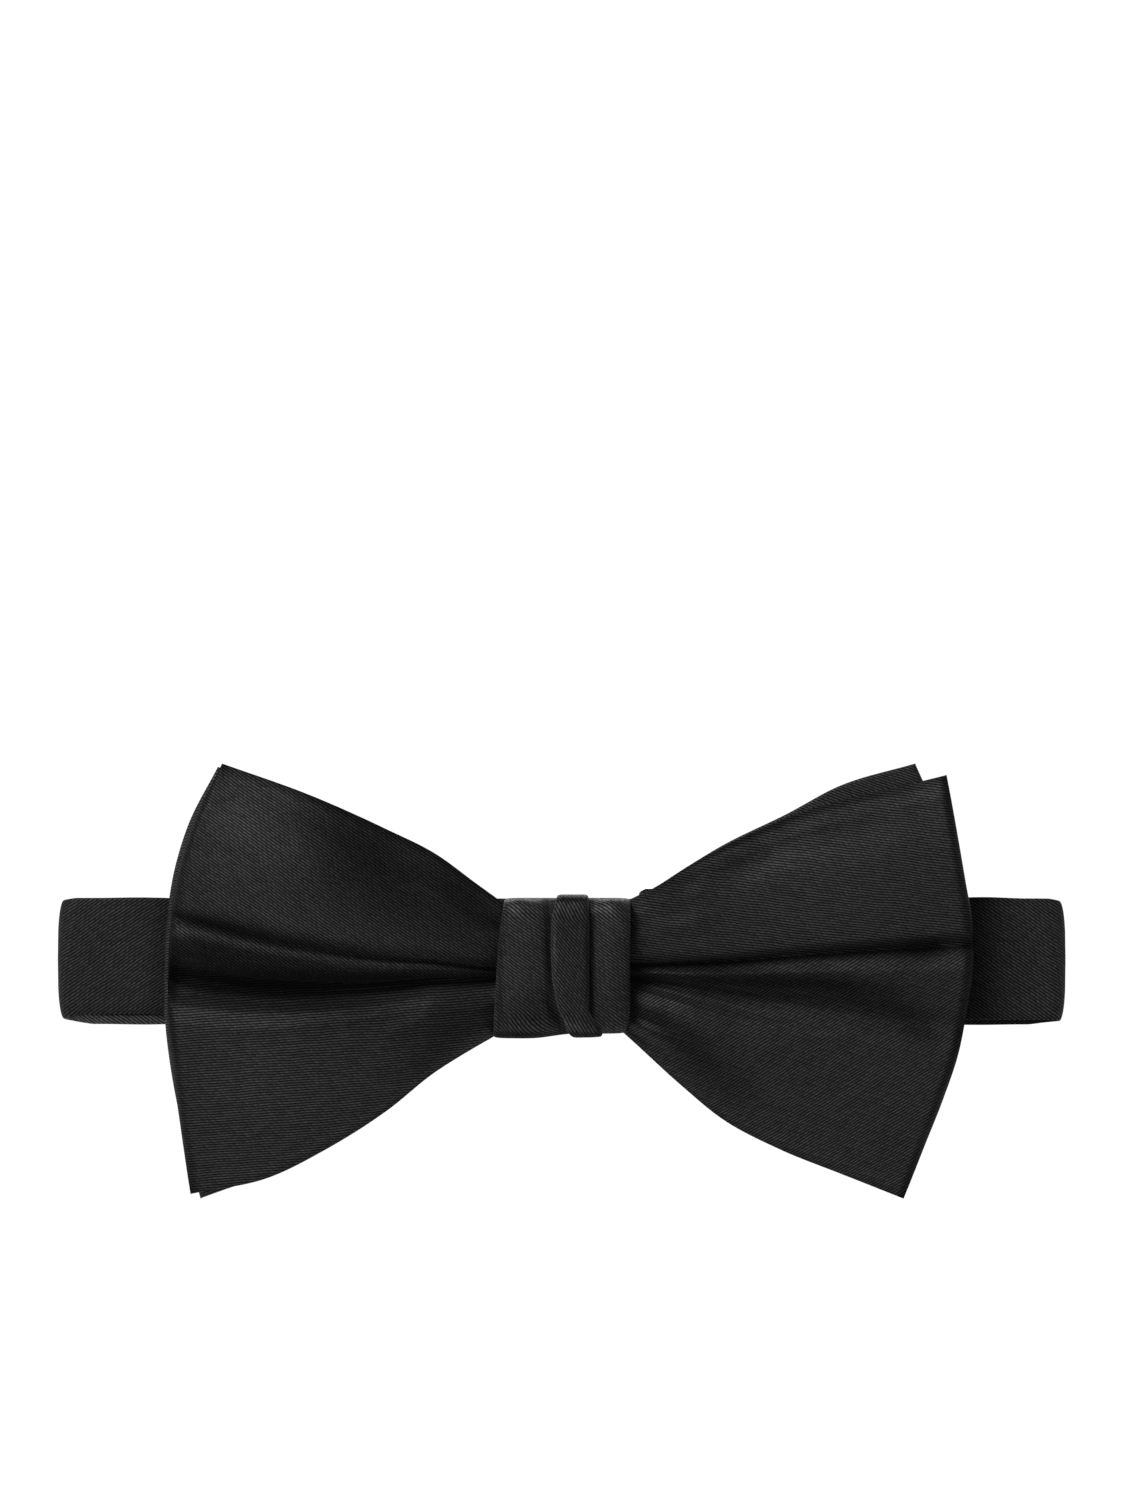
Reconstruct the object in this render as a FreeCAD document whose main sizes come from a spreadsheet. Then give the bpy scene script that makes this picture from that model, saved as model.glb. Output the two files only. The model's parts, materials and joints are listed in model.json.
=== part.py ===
import FreeCAD, Part
import math
import os
import Sketcher

# Driving sizes in millimetres and degrees. X runs to the right as seen from the front, Y goes back
# towards the neck and Z is up. The origin lies on the back face of the neckband, on the knot's
# centre line.
SIZES = {
    # neckband
    "band_width": 18.3,
    "band_thickness": 1.2,
    "band_edge_radius": 0.35,
    "band_centre_height": 1.25,
    "folded_centre_height": 0.25,
    "lining_width": 14.8,
    "lining_thickness": 0.4,
    "lining_clearance": 0.1,
    "reach": 75.1,
    "inner_run_depth": 3.6,
    "outer_run_depth": 7.0,
    "left_second_fold": 19.0,
    "right_second_fold": 11.0,
    "waist_notch_height": 8.4,
    "waist_notch_half_width": 11.0,
    "joint_gap": 0.1,
    # fastening
    "bar_reach": 46.0,
    "bar_depth": 8.6,
    "bar_radius": 0.8,
    "turn_inner_radius": 1.0,
    "turn_leg": 2.0,
    "eye_hem_leg": 7.0,
    "rail_inner_height": 9.6,
    "rail_outer_height": 11.0,
    "plate_thickness": 1.0,
    "plate_start": 3.0,
    "eye_length": 12.0,
    "eye_tip_height": 9.0,
    "eye_slot_start": 5.0,
    "eye_slot_end": 10.2,
    "eye_slot_height": 14.0,
    "hook_plate_end": 5.4,
    "tongue_width": 8.0,
    "tongue_turn": 12.0,
    "tongue_turn_radius": 0.7,
    "tongue_return": 5.0,
    "slide_stretch_start": 33.5,
    # adjuster slider
    "slider_position": 17.5,
    "slider_length": 12.0,
    "slider_outer_height": 11.2,
    "slider_window_height": 9.6,
    "slider_front": 5.0,
    "slider_front_thickness": 1.1,
    "slider_back": 9.3,
    "slider_bar_thickness": 0.8,
    "slider_bar_width": 2.2,
    "slider_side_bar": 1.8,
    "slider_corner": 1.2,
    "slider_hem_width": 15.6,
    "slider_hem_thickness": 0.4,
    "slider_hem_radius": 0.6,
    "slider_hem_leg": 4.2,
    # bow plies
    "ply_thickness": 0.4,
    "waist_half_length": 11.0,
    "strip_half_length": 62.0,
    "strip_height": 80.0,
    # knot
    "knot_length": 20.4,
    "knot_centre_height": 0.2,
    "knot_half_height": 10.5,
    "knot_front": -8.9,
    "knot_back": 1.35,
    "knot_wall": 0.8,
    "knot_corner": 2.4,
    "knot_lining_wall": 0.4,
    "knot_lining_length": 17.0,
    "knot_lining_corner": 1.5,
    "overlap_rise": 1.0,
    "thread_half_height": 8.8,
    "thread_front": -7.3,
    "thread_back": -1.35,
    "thread_size": 0.4,
    "thread_lay": 1.2,
    # stitches
    "closing_stitch_reach": 6.0,
    "closing_stitch_stand_off": 0.4,
    "bar_tack_stand_off": 0.33,
    "eye_tack_inset": 4.4,
    "slider_tack_inset": 4.84,
}

# Rows of slanting stitches: how many, step along the row, height of the slant, width of the thread.
CLOSING_STITCHES = {"count": 8, "pitch": 1.5, "height": 1.6, "thread": 0.35}
BAR_TACK = {"count": 10, "pitch": 1.2, "height": 1.6, "thread": 0.35}

# Bow plies, back to front: depth at the waist, depth at the wing's edge, radius of the bulge between.
PLIES = {
    "rear_bow_backing": ("rear", -2.2, -2.3, 2000.0),
    "rear_bow_interlining": ("rear", -3.0, -3.2, 900.0),
    "rear_bow_face": ("rear", -3.8, -4.6, 330.0),
    "front_bow_backing": ("front", -4.8, -6.4, 210.0),
    "front_bow_interlining": ("front", -5.6, -7.3, 110.0),
    "front_bow_face": ("front", -6.4, -8.3, 80.0),
}

# Butterfly outlines, anticlockwise from the waist's upper left: corner (x, z), and the radius of the
# outward curve that starts there. 0 is a straight edge.
OUTLINES = {
    "front": [
        ((-11.0, 8.6), 90.0),
        ((-50.6, 30.3), 0.0),
        ((-55.9, 21.0), 95.0),
        ((-55.3, -33.6), 85.0),
        ((-11.0, -8.2), 0.0),
        ((11.0, -8.2), 80.0),
        ((50.7, -34.4), 75.0),
        ((57.1, 28.6), 85.0),
        ((11.0, 8.6), 0.0),
    ],
    "rear": [
        ((-11.0, 8.6), 90.0),
        ((-51.6, 29.4), 110.0),
        ((-54.0, -34.5), 85.0),
        ((-11.0, -8.2), 0.0),
        ((11.0, -8.2), 80.0),
        ((49.9, -33.6), 85.0),
        ((52.6, 30.2), 85.0),
        ((11.0, 8.6), 0.0),
    ],
}

# Outline of the fold that lies over the knot's middle, in the same form.
OVERLAP = [
    ((-0.7, 9.2), 21.0),
    ((1.9, -9.0), 0.0),
    ((3.9, -9.0), 0.0),
    ((3.9, 9.2), 0.0),
]

doc = FreeCAD.newDocument("bow_tie")
sheet = doc.addObject("Spreadsheet::Sheet", "sizes")


def fill_sheet():
    """Write every driving size to the sheet, one row each, with its alias."""
    rows = dict(SIZES)
    for name, (_, waist, edge, radius) in PLIES.items():
        rows[name + "_waist"] = waist
        rows[name + "_edge"] = edge
        rows[name + "_bulge"] = radius
    for name, corners in [*OUTLINES.items(), ("overlap", OVERLAP)]:
        for n, ((x, z), radius) in enumerate(corners):
            rows[f"{name}_corner_x_{n}"] = x
            rows[f"{name}_corner_z_{n}"] = z
            if radius:
                rows[f"{name}_edge_radius_{n}"] = radius
    for n, (alias, value) in enumerate(rows.items(), start=1):
        sheet.set(f"A{n}", alias)
        sheet.set(f"B{n}", str(value))
        sheet.setAlias(f"B{n}", alias)
    doc.recompute()
    return rows


ROWS = fill_sheet()
ZERO = (0.0, None)
NEAR = 1e-4


def size(**terms):
    """A sum of multiples of sheet sizes, as its value and the expression that keeps it driven."""
    value = sum(k * ROWS[alias] for alias, k in terms.items())
    return value, " + ".join(f"({k}) * sizes.{alias}" for alias, k in terms.items())


def bind(obj, field, amount):
    """Drive a property from the sheet."""
    if amount[1]:
        obj.setExpression(field, amount[1])


def new_body(name, x=ZERO, y=ZERO, z=ZERO, turn=0.0):
    """A body at its own place, turned about Z."""
    body = doc.addObject("PartDesign::Body", name)
    body.Label = name
    body.Placement = FreeCAD.Placement(
        FreeCAD.Vector(x[0], y[0], z[0]), FreeCAD.Rotation(FreeCAD.Vector(0, 0, 1), turn)
    )
    for axis, amount in zip("xyz", (x, y, z)):
        bind(body, f"Placement.Base.{axis}", amount)
    return body


def new_sketch(body, plane, offset=(ZERO, ZERO, ZERO)):
    """A sketch on one of the body's own planes, moved by an offset in the plane's axes."""
    sketch = body.newObject("Sketcher::SketchObject", body.Name + "_sketch")
    origin = next(f for f in body.Origin.OriginFeatures if f.Role == plane)
    sketch.AttachmentSupport = [(origin, "")]
    sketch.MapMode = "FlatFace"
    sketch.AttachmentOffset = FreeCAD.Placement(
        FreeCAD.Vector(*(amount[0] for amount in offset)), FreeCAD.Rotation()
    )
    for axis, amount in zip("xyz", offset):
        bind(sketch, f"AttachmentOffset.Base.{axis}", amount)
    return sketch


def constrain(sketch, amount, kind, *where):
    """Add a dimension and drive it from the sheet."""
    number = sketch.addConstraint(Sketcher.Constraint(kind, *where, amount[0]))
    bind(sketch, f"Constraints[{number}]", amount)


def arc_between(a, b, radius, side):
    """The short arc from a to b: side 1 runs anticlockwise, -1 clockwise."""
    chord = b - a
    rise = math.sqrt(max(radius**2 - (chord.Length / 2) ** 2, 0.0))
    across = FreeCAD.Vector(-chord.y, chord.x, 0).normalize()
    centre = (a + b) / 2 + across * rise * side
    first, last = (a, b) if side > 0 else (b, a)
    angles = [math.atan2(p.y - centre.y, p.x - centre.x) for p in (first, last)]
    if angles[1] < angles[0]:
        angles[1] += 2 * math.pi
    circle = Part.Circle(centre, FreeCAD.Vector(0, 0, 1), radius)
    return Part.ArcOfCircle(circle, *angles)


def draw(sketch, corners, arcs=None):
    """Draw a closed chain through the corners. arcs maps a corner's number to (side, radius) for the
    edge that leaves it; a radius of None is a half circle about the sketch's origin."""
    arcs = arcs or {}
    points = [FreeCAD.Vector(x[0], y[0], 0) for x, y in corners]
    ends = []
    for n, start in enumerate(points):
        stop = points[(n + 1) % len(points)]
        if n not in arcs:
            edge = sketch.addGeometry(Part.LineSegment(start, stop))
            ends.append((edge, 1, 2))
            continue
        side, radius = arcs[n]
        length = radius[0] if radius else start.Length
        edge = sketch.addGeometry(arc_between(start, stop, length, side))
        ends.append((edge, 1, 2) if side > 0 else (edge, 2, 1))
    for n, (edge, start, stop) in enumerate(ends):
        following = ends[(n + 1) % len(ends)]
        sketch.addConstraint(
            Sketcher.Constraint("Coincident", edge, stop, following[0], following[1])
        )
    for n, (edge, start, _) in enumerate(ends):
        x, y = corners[n]
        constrain(sketch, x, "DistanceX", -1, 1, edge, start)
        constrain(sketch, y, "DistanceY", -1, 1, edge, start)
        if n in arcs and arcs[n][1]:
            constrain(sketch, arcs[n][1], "Radius", edge)
        elif n in arcs:
            sketch.addConstraint(Sketcher.Constraint("PointOnObject", edge, 3, -2))


def draw_box(sketch, x_low, x_high, y_low, y_high):
    """Draw a rectangle."""
    draw(sketch, [(x_low, y_low), (x_high, y_low), (x_high, y_high), (x_low, y_high)])


def draw_named(sketch, name, corners):
    """Draw a stored outline, each corner and radius driven by its own sheet rows."""
    places = [
        (size(**{f"{name}_corner_x_{n}": 1}), size(**{f"{name}_corner_z_{n}": 1}))
        for n in range(len(corners))
    ]
    arcs = {
        n: (1, size(**{f"{name}_edge_radius_{n}": 1}))
        for n, (_, radius) in enumerate(corners)
        if radius
    }
    draw(sketch, places, arcs)


def pad(body, sketch, length):
    """Pad a sketch and check that it added material."""
    before = body.Shape.Volume if body.Tip else 0.0
    feature = body.newObject("PartDesign::Pad", body.Name + "_pad")
    feature.Profile = sketch
    feature.Length = length[0]
    bind(feature, "Length", length)
    doc.recompute()
    if not body.Shape.Volume > before:
        raise ValueError(f"{body.Name}: a pad added nothing")
    return feature


def cut_through(body, sketch, reverse):
    """Cut a sketch through all and check that it removed material."""
    before = body.Shape.Volume
    feature = body.newObject("PartDesign::Pocket", body.Name + "_cut")
    feature.Profile = sketch
    feature.Type = "ThroughAll"
    feature.Reversed = reverse
    doc.recompute()
    if not body.Shape.Volume < before:
        raise ValueError(f"{body.Name}: a cut removed nothing")


def round_edges(body, radius, chosen):
    """Fillet the tip's edges whose direction and middle pass the test."""
    tip = body.Tip
    names = [
        f"Edge{n}"
        for n, edge in enumerate(tip.Shape.Edges, start=1)
        if edge.Curve.TypeId == "Part::GeomLine"
        and chosen(edge.Curve.Direction, edge.CenterOfMass)
    ]
    if not names:
        raise ValueError(f"{body.Name}: no edge to round")
    feature = body.newObject("PartDesign::Fillet", body.Name + "_round")
    feature.Base = (tip, names)
    feature.Radius = radius[0]
    bind(feature, "Radius", radius)
    doc.recompute()


def along(direction, axis):
    """Whether a direction runs along one of the axes, given by number."""
    return abs(abs(tuple(direction)[axis]) - 1) < 1e-6


def make_run(name, x, y, z, length):
    """A flat run of the neckband: a satin tube with a slot for its interlining, and the interlining."""
    body = new_body(name, x, y, z)
    sketch = new_sketch(body, "YZ_Plane")
    draw_box(
        sketch,
        size(band_thickness=-0.5),
        size(band_thickness=0.5),
        size(band_width=-0.5),
        size(band_width=0.5),
    )
    draw_box(
        sketch,
        size(lining_thickness=-0.5, lining_clearance=-1),
        size(lining_thickness=0.5, lining_clearance=1),
        size(lining_width=-0.5, lining_clearance=-1),
        size(lining_width=0.5, lining_clearance=1),
    )
    pad(body, sketch, length)
    corner = size(band_width=0.5)[0]
    round_edges(
        body,
        size(band_edge_radius=1),
        lambda way, spot: along(way, 0) and abs(abs(spot.z) - corner) < NEAR,
    )
    make_strip(name + "_interlining", x, y, z, length, "lining_thickness", "lining_width")
    return body


def make_strip(name, x, y, z, length, thickness, width):
    """A flat strip along X, solid right through; thickness and width name its sizes."""
    body = new_body(name, x, y, z)
    sketch = new_sketch(body, "YZ_Plane")
    draw_box(
        sketch,
        size(**{thickness: -0.5}),
        size(**{thickness: 0.5}),
        size(**{width: -0.5}),
        size(**{width: 0.5}),
    )
    pad(body, sketch, length)


def make_turn(name, x, y, z, width, inner, outer, front_leg, back_leg, turn=0.0):
    """A strap that goes round a bar: two legs joined by a half turn about the body's own Z axis."""
    body = new_body(name, x, y, z, turn)
    sketch = new_sketch(body, "XY_Plane")
    inward, outward = [(-amount[0], f"-({amount[1]})") for amount in (inner, outer)]
    corners = [(ZERO, outward), (ZERO, outer), (ZERO, inner), (ZERO, inward)]
    arcs = {0: (1, None), 2: (-1, None)}
    if front_leg:
        front, back = [(-leg[0], f"-({leg[1]})") for leg in (front_leg, back_leg)]
        corners = [
            (front, outward),
            (ZERO, outward),
            (ZERO, outer),
            (back, outer),
            (back, inner),
            (ZERO, inner),
            (ZERO, inward),
            (front, inward),
        ]
        arcs = {1: (1, None), 5: (-1, None)}
    draw(sketch, corners, arcs)
    pad(body, sketch, width)
    return body


def make_ply(name):
    """One ply of a bow: a curved strip, cut to its butterfly outline."""
    outline = PLIES[name][0]
    body = new_body(name)
    strip = new_sketch(body, "XY_Plane", (ZERO, ZERO, size(strip_height=-0.5)))
    waist = {name + "_waist": 1}
    edge = {name + "_edge": 1}
    bulge = (1, size(**{name + "_bulge": 1}))
    hollow = (-1, bulge[1])
    end, start = {"strip_half_length": 1}, {"waist_half_length": 1}
    minus_end, minus_start = {"strip_half_length": -1}, {"waist_half_length": -1}
    front, back = {"ply_thickness": -0.5}, {"ply_thickness": 0.5}
    corners = [
        (size(**minus_end), size(**edge, **front)),
        (size(**minus_start), size(**waist, **front)),
        (size(**start), size(**waist, **front)),
        (size(**end), size(**edge, **front)),
        (size(**end), size(**edge, **back)),
        (size(**start), size(**waist, **back)),
        (size(**minus_start), size(**waist, **back)),
        (size(**minus_end), size(**edge, **back)),
    ]
    draw(strip, corners, {0: bulge, 2: bulge, 4: hollow, 6: hollow})
    pad(body, strip, size(strip_height=1))
    cutter = new_sketch(body, "XZ_Plane")
    margin = size(strip_half_length=1.2)
    less = size(strip_half_length=-1.2)
    draw_box(cutter, less, margin, less, margin)
    draw_named(cutter, outline, OUTLINES[outline])
    cut_through(body, cutter, True)


def make_ring(name, length, half_height, front, back, wall, corner):
    """A closed loop round the waist, with rounded corners."""
    body = new_body(name)
    sketch = new_sketch(body, "YZ_Plane", (ZERO, ZERO, (-length[0] / 2, f"-0.5 * ({length[1]})")))
    centre = ROWS["knot_centre_height"]
    for inset in (0, 1):
        shrink = {alias: -inset * k for alias, k in wall.items()}
        grow = {alias: inset * k for alias, k in wall.items()}
        draw_box(
            sketch,
            size(**front, **grow),
            size(**back, **shrink),
            size(knot_centre_height=1, **{a: -k for a, k in half_height.items()}, **grow),
            size(knot_centre_height=1, **half_height, **shrink),
        )
    pad(body, sketch, length)
    if corner:
        reach = size(**half_height)[0]
        round_edges(
            body,
            corner,
            lambda way, middle: along(way, 0) and abs(abs(middle.z - centre) - reach) < NEAR,
        )
        inner_reach = reach - size(**wall)[0]
        round_edges(
            body,
            (corner[0] - size(**wall)[0], f"{corner[1]} - ({size(**wall)[1]})"),
            lambda way, middle: along(way, 0)
            and abs(abs(middle.z - centre) - inner_reach) < NEAR,
        )
    return body


def make_zigzag(name, x, y, z, count, pitch, height, thread):
    """A row of slanting stitches in one thread, lying flat in the XZ plane."""
    body = new_body(name, x, y, z)
    sketch = new_sketch(body, "XZ_Plane")
    ups = [(n * pitch, (height if n % 2 else -height) / 2) for n in range(count + 1)]
    chain = [(px, pz + thread) for px, pz in ups] + [(px, pz) for px, pz in reversed(ups)]
    points = [FreeCAD.Vector(px, pz, 0) for px, pz in chain]
    for n, point in enumerate(points):
        sketch.addGeometry(Part.LineSegment(point, points[(n + 1) % len(points)]))
    for n in range(len(points)):
        sketch.addConstraint(
            Sketcher.Constraint("Coincident", n, 2, (n + 1) % len(points), 1)
        )
    pad(body, sketch, size(thread_size=0.75))
    return body


def make_knot():
    """The wrap with its overlapping fold, its interlining, the gather thread and closing stitches."""
    wrap = make_ring(
        "knot_wrap",
        size(knot_length=1),
        {"knot_half_height": 1},
        {"knot_front": 1},
        {"knot_back": 1},
        {"knot_wall": 1},
        size(knot_corner=1),
    )
    fold = new_sketch(wrap, "XZ_Plane", (ZERO, ZERO, size(knot_front=-1, knot_wall=-0.5)))
    draw_named(fold, "overlap", OVERLAP)
    pad(wrap, fold, size(overlap_rise=1, knot_wall=0.5))
    make_ring(
        "knot_interlining",
        size(knot_lining_length=1),
        {"knot_half_height": 1, "knot_wall": -1, "lining_clearance": -1},
        {"knot_front": 1, "knot_wall": 1, "lining_clearance": 1},
        {"knot_back": 1, "knot_wall": -1, "lining_clearance": -1},
        {"knot_lining_wall": 1},
        size(knot_lining_corner=1),
    )
    make_ring(
        "gather_thread",
        size(thread_lay=1),
        {"thread_half_height": 1},
        {"thread_front": 1},
        {"thread_back": 1},
        {"thread_size": 1},
        None,
    )
    make_zigzag(
        "knot_closing_stitches",
        size(closing_stitch_reach=-1),
        size(knot_back=1, closing_stitch_stand_off=1),
        ZERO,
        **CLOSING_STITCHES,
    )


def make_neckband():
    """The front run, and on each side two folds, the inner run and the outer run."""
    first_outer = size(inner_run_depth=0.5, band_thickness=0.75)
    first_inner = size(inner_run_depth=0.5, band_thickness=-0.25)
    first_depth = size(inner_run_depth=0.5, band_thickness=-0.25)
    first_axis = {"reach": 1, "inner_run_depth": -0.5, "band_thickness": -0.75}
    minus_first_axis = {alias: -k for alias, k in first_axis.items()}
    second_outer = size(outer_run_depth=0.5, inner_run_depth=-0.5, band_thickness=0.5)
    second_inner = size(outer_run_depth=0.5, inner_run_depth=-0.5, band_thickness=-0.5)
    second_depth = size(outer_run_depth=0.5, inner_run_depth=0.5)
    front_height = size(band_centre_height=1)
    back_height = size(folded_centre_height=1)
    gap = {"joint_gap": 1}

    front = make_run(
        "neckband_front_run",
        size(**minus_first_axis, **gap),
        size(band_thickness=-0.5),
        front_height,
        size(reach=2, inner_run_depth=-1, band_thickness=-1.5, joint_gap=-2),
    )
    notch = new_sketch(front, "XZ_Plane")
    draw_box(
        notch,
        size(**first_axis, joint_gap=-1, waist_notch_half_width=-1),
        size(**first_axis, joint_gap=-1, waist_notch_half_width=1),
        size(waist_notch_height=1, band_centre_height=-1),
        size(band_width=1),
    )
    cut = front.newObject("PartDesign::Pocket", "neckband_front_notch")
    before = front.Shape.Volume
    cut.Profile = notch
    cut.Type = "ThroughAll"
    cut.Midplane = True
    doc.recompute()
    if not front.Shape.Volume < before:
        raise ValueError("the waist notch removed nothing")

    width = size(band_width=1)
    front_base = size(band_centre_height=1, band_width=-0.5)
    back_base = size(folded_centre_height=1, band_width=-0.5)
    for side, sign, turn in (("left", -1, 180.0), ("right", 1, 0.0)):
        second = side + "_second_fold"
        make_turn(
            side + "_first_fold",
            size(**(first_axis if sign > 0 else minus_first_axis)),
            first_depth,
            front_base,
            width,
            first_inner,
            first_outer,
            None,
            None,
            turn,
        )
        make_turn(
            second + "_bend",
            size(**{second: -1}),
            second_depth,
            back_base,
            width,
            second_inner,
            second_outer,
            None,
            None,
            180.0 - turn,
        )
    make_run(
        "left_inner_run",
        size(**minus_first_axis, **gap),
        size(inner_run_depth=1),
        back_height,
        size(**first_axis, left_second_fold=-1, joint_gap=-2),
    )
    make_run(
        "right_inner_run",
        size(right_second_fold=-1, joint_gap=1),
        size(inner_run_depth=1),
        back_height,
        size(**first_axis, right_second_fold=1, joint_gap=-2),
    )
    make_run(
        "left_outer_run",
        size(bar_reach=-1, turn_leg=1, joint_gap=1),
        size(outer_run_depth=1),
        back_height,
        size(bar_reach=1, turn_leg=-1, left_second_fold=-1, joint_gap=-2),
    )
    make_run(
        "right_outer_run",
        size(right_second_fold=-1, joint_gap=1),
        size(outer_run_depth=1),
        back_height,
        size(slide_stretch_start=1, right_second_fold=1, joint_gap=-2),
    )
    make_strip(
        "right_sliding_stretch",
        size(slide_stretch_start=1),
        size(outer_run_depth=1),
        back_height,
        size(bar_reach=1, slide_stretch_start=-1, turn_leg=-1, joint_gap=-1),
        "band_thickness",
        "band_width",
    )
    make_strip(
        "return_run",
        size(slider_position=1, slider_bar_width=1),
        size(bar_depth=2, outer_run_depth=-1),
        back_height,
        size(
            bar_reach=1, slider_position=-1, slider_bar_width=-1, turn_leg=-1, joint_gap=-1
        ),
        "band_thickness",
        "band_width",
    )


def flat_sketch(body, back):
    """A sketch facing the front, on a plane this far behind the body's own XZ plane."""
    return new_sketch(body, "XZ_Plane", (ZERO, ZERO, (-back[0], f"-({back[1]})")))


def draw_mirrored(sketch, half):
    """Draw a chain whose lower half is given from the bar end to the tip, and mirror it upwards."""
    upper = [(x, (-z[0], f"-({z[1]})")) for x, z in reversed(half)]
    draw(sketch, [*half, *upper])


def plate_rails():
    """The shared start of the hook's and the eye's outline: two rails that hold the bar's ends."""
    low_inner = size(rail_inner_height=-1)
    low_outer = size(rail_outer_height=-1)
    return [
        (size(plate_start=1), low_inner),
        (ZERO, low_inner),
        (ZERO, low_outer),
        (size(plate_start=1.2), low_outer),
    ]


def add_bar(body):
    """The round bar that the strap goes round, along the body's own Z axis."""
    bar = new_sketch(body, "XY_Plane", (ZERO, ZERO, size(rail_outer_height=-1)))
    circle = Part.Circle(FreeCAD.Vector(), FreeCAD.Vector(0, 0, 1), SIZES["bar_radius"])
    bar.addGeometry(circle)
    bar.addConstraint(Sketcher.Constraint("Coincident", 0, 3, -1, 1))
    constrain(bar, size(bar_radius=1), "Radius", 0)
    pad(body, bar, size(rail_outer_height=2))


def make_eye():
    """The eye: a bar in its hem, two rails and a plate with the slot that takes the hook."""
    body = new_body(
        "eye", size(bar_reach=-1), size(bar_depth=1), size(folded_centre_height=1), 180.0
    )
    plate = flat_sketch(body, size(plate_thickness=0.5))
    half = plate_rails() + [(size(eye_length=1), size(eye_tip_height=-1))]
    draw_mirrored(plate, half)
    draw_box(
        plate,
        size(eye_slot_start=1),
        size(eye_slot_end=1),
        size(eye_slot_height=-0.5),
        size(eye_slot_height=0.5),
    )
    pad(body, plate, size(plate_thickness=1))
    add_bar(body)


def make_hook():
    """The hook: a bar in the strap's turn, two rails, a cross plate and a tongue folded back."""
    body = new_body(
        "hook", size(bar_reach=1), size(bar_depth=1), size(folded_centre_height=1)
    )
    plate = flat_sketch(body, size(plate_thickness=0.5))
    half = plate_rails() + [
        (size(hook_plate_end=1), size(eye_tip_height=-1)),
        (size(hook_plate_end=1), size(tongue_width=-0.5)),
        (size(tongue_turn=1), size(tongue_width=-0.5)),
    ]
    draw_mirrored(plate, half)
    pad(body, plate, size(plate_thickness=1))
    add_bar(body)
    tongue = new_sketch(
        body,
        "XY_Plane",
        (
            size(tongue_turn=1),
            size(tongue_turn_radius=1, plate_thickness=0.5),
            size(tongue_width=-0.5),
        ),
    )
    outer = size(tongue_turn_radius=1, plate_thickness=1)
    inner = size(tongue_turn_radius=1)
    minus_outer = size(tongue_turn_radius=-1, plate_thickness=-1)
    minus_inner = size(tongue_turn_radius=-1)
    draw(
        tongue,
        [
            (ZERO, minus_outer),
            (ZERO, outer),
            (size(tongue_return=-1), outer),
            (size(tongue_return=-1), inner),
            (ZERO, inner),
            (ZERO, minus_inner),
        ],
        {0: (1, None), 4: (-1, None)},
    )
    pad(body, tongue, size(tongue_width=1))


def make_slider():
    """The three-bar slider: side bars in front of the strap, rails above and below, centre bar behind."""
    body = new_body("adjuster_slider", size(slider_position=1), ZERO, size(folded_centre_height=1))
    front = flat_sketch(body, size(slider_front=1, slider_front_thickness=1))
    draw_box(
        front,
        size(slider_length=-0.5),
        size(slider_length=0.5),
        size(slider_outer_height=-1),
        size(slider_outer_height=1),
    )
    draw_box(
        front,
        size(slider_length=-0.5, slider_side_bar=1),
        size(slider_length=0.5, slider_side_bar=-1),
        size(slider_window_height=-1),
        size(slider_window_height=1),
    )
    pad(body, front, size(slider_front_thickness=1))
    for sign in (-1, 1):
        rail = flat_sketch(body, size(slider_back=1))
        low, high = size(slider_window_height=sign), size(slider_outer_height=sign)
        draw_box(rail, size(slider_length=-0.5), size(slider_length=0.5), low, high)
        pad(body, rail, size(slider_back=1, slider_front=-1, slider_front_thickness=-0.5))
    middle = flat_sketch(body, size(slider_back=1))
    draw_box(
        middle,
        size(slider_bar_width=-0.5),
        size(slider_bar_width=0.5),
        size(slider_window_height=-1, joint_gap=-1),
        size(slider_window_height=1, joint_gap=1),
    )
    pad(body, middle, size(slider_bar_thickness=1))
    reach = ROWS["slider_length"] / 2
    round_edges(
        body,
        size(slider_corner=1),
        lambda way, spot: along(way, 1)
        and abs(abs(spot.x) - reach) < NEAR
        and abs(abs(spot.z) - ROWS["slider_outer_height"]) < NEAR,
    )


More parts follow.
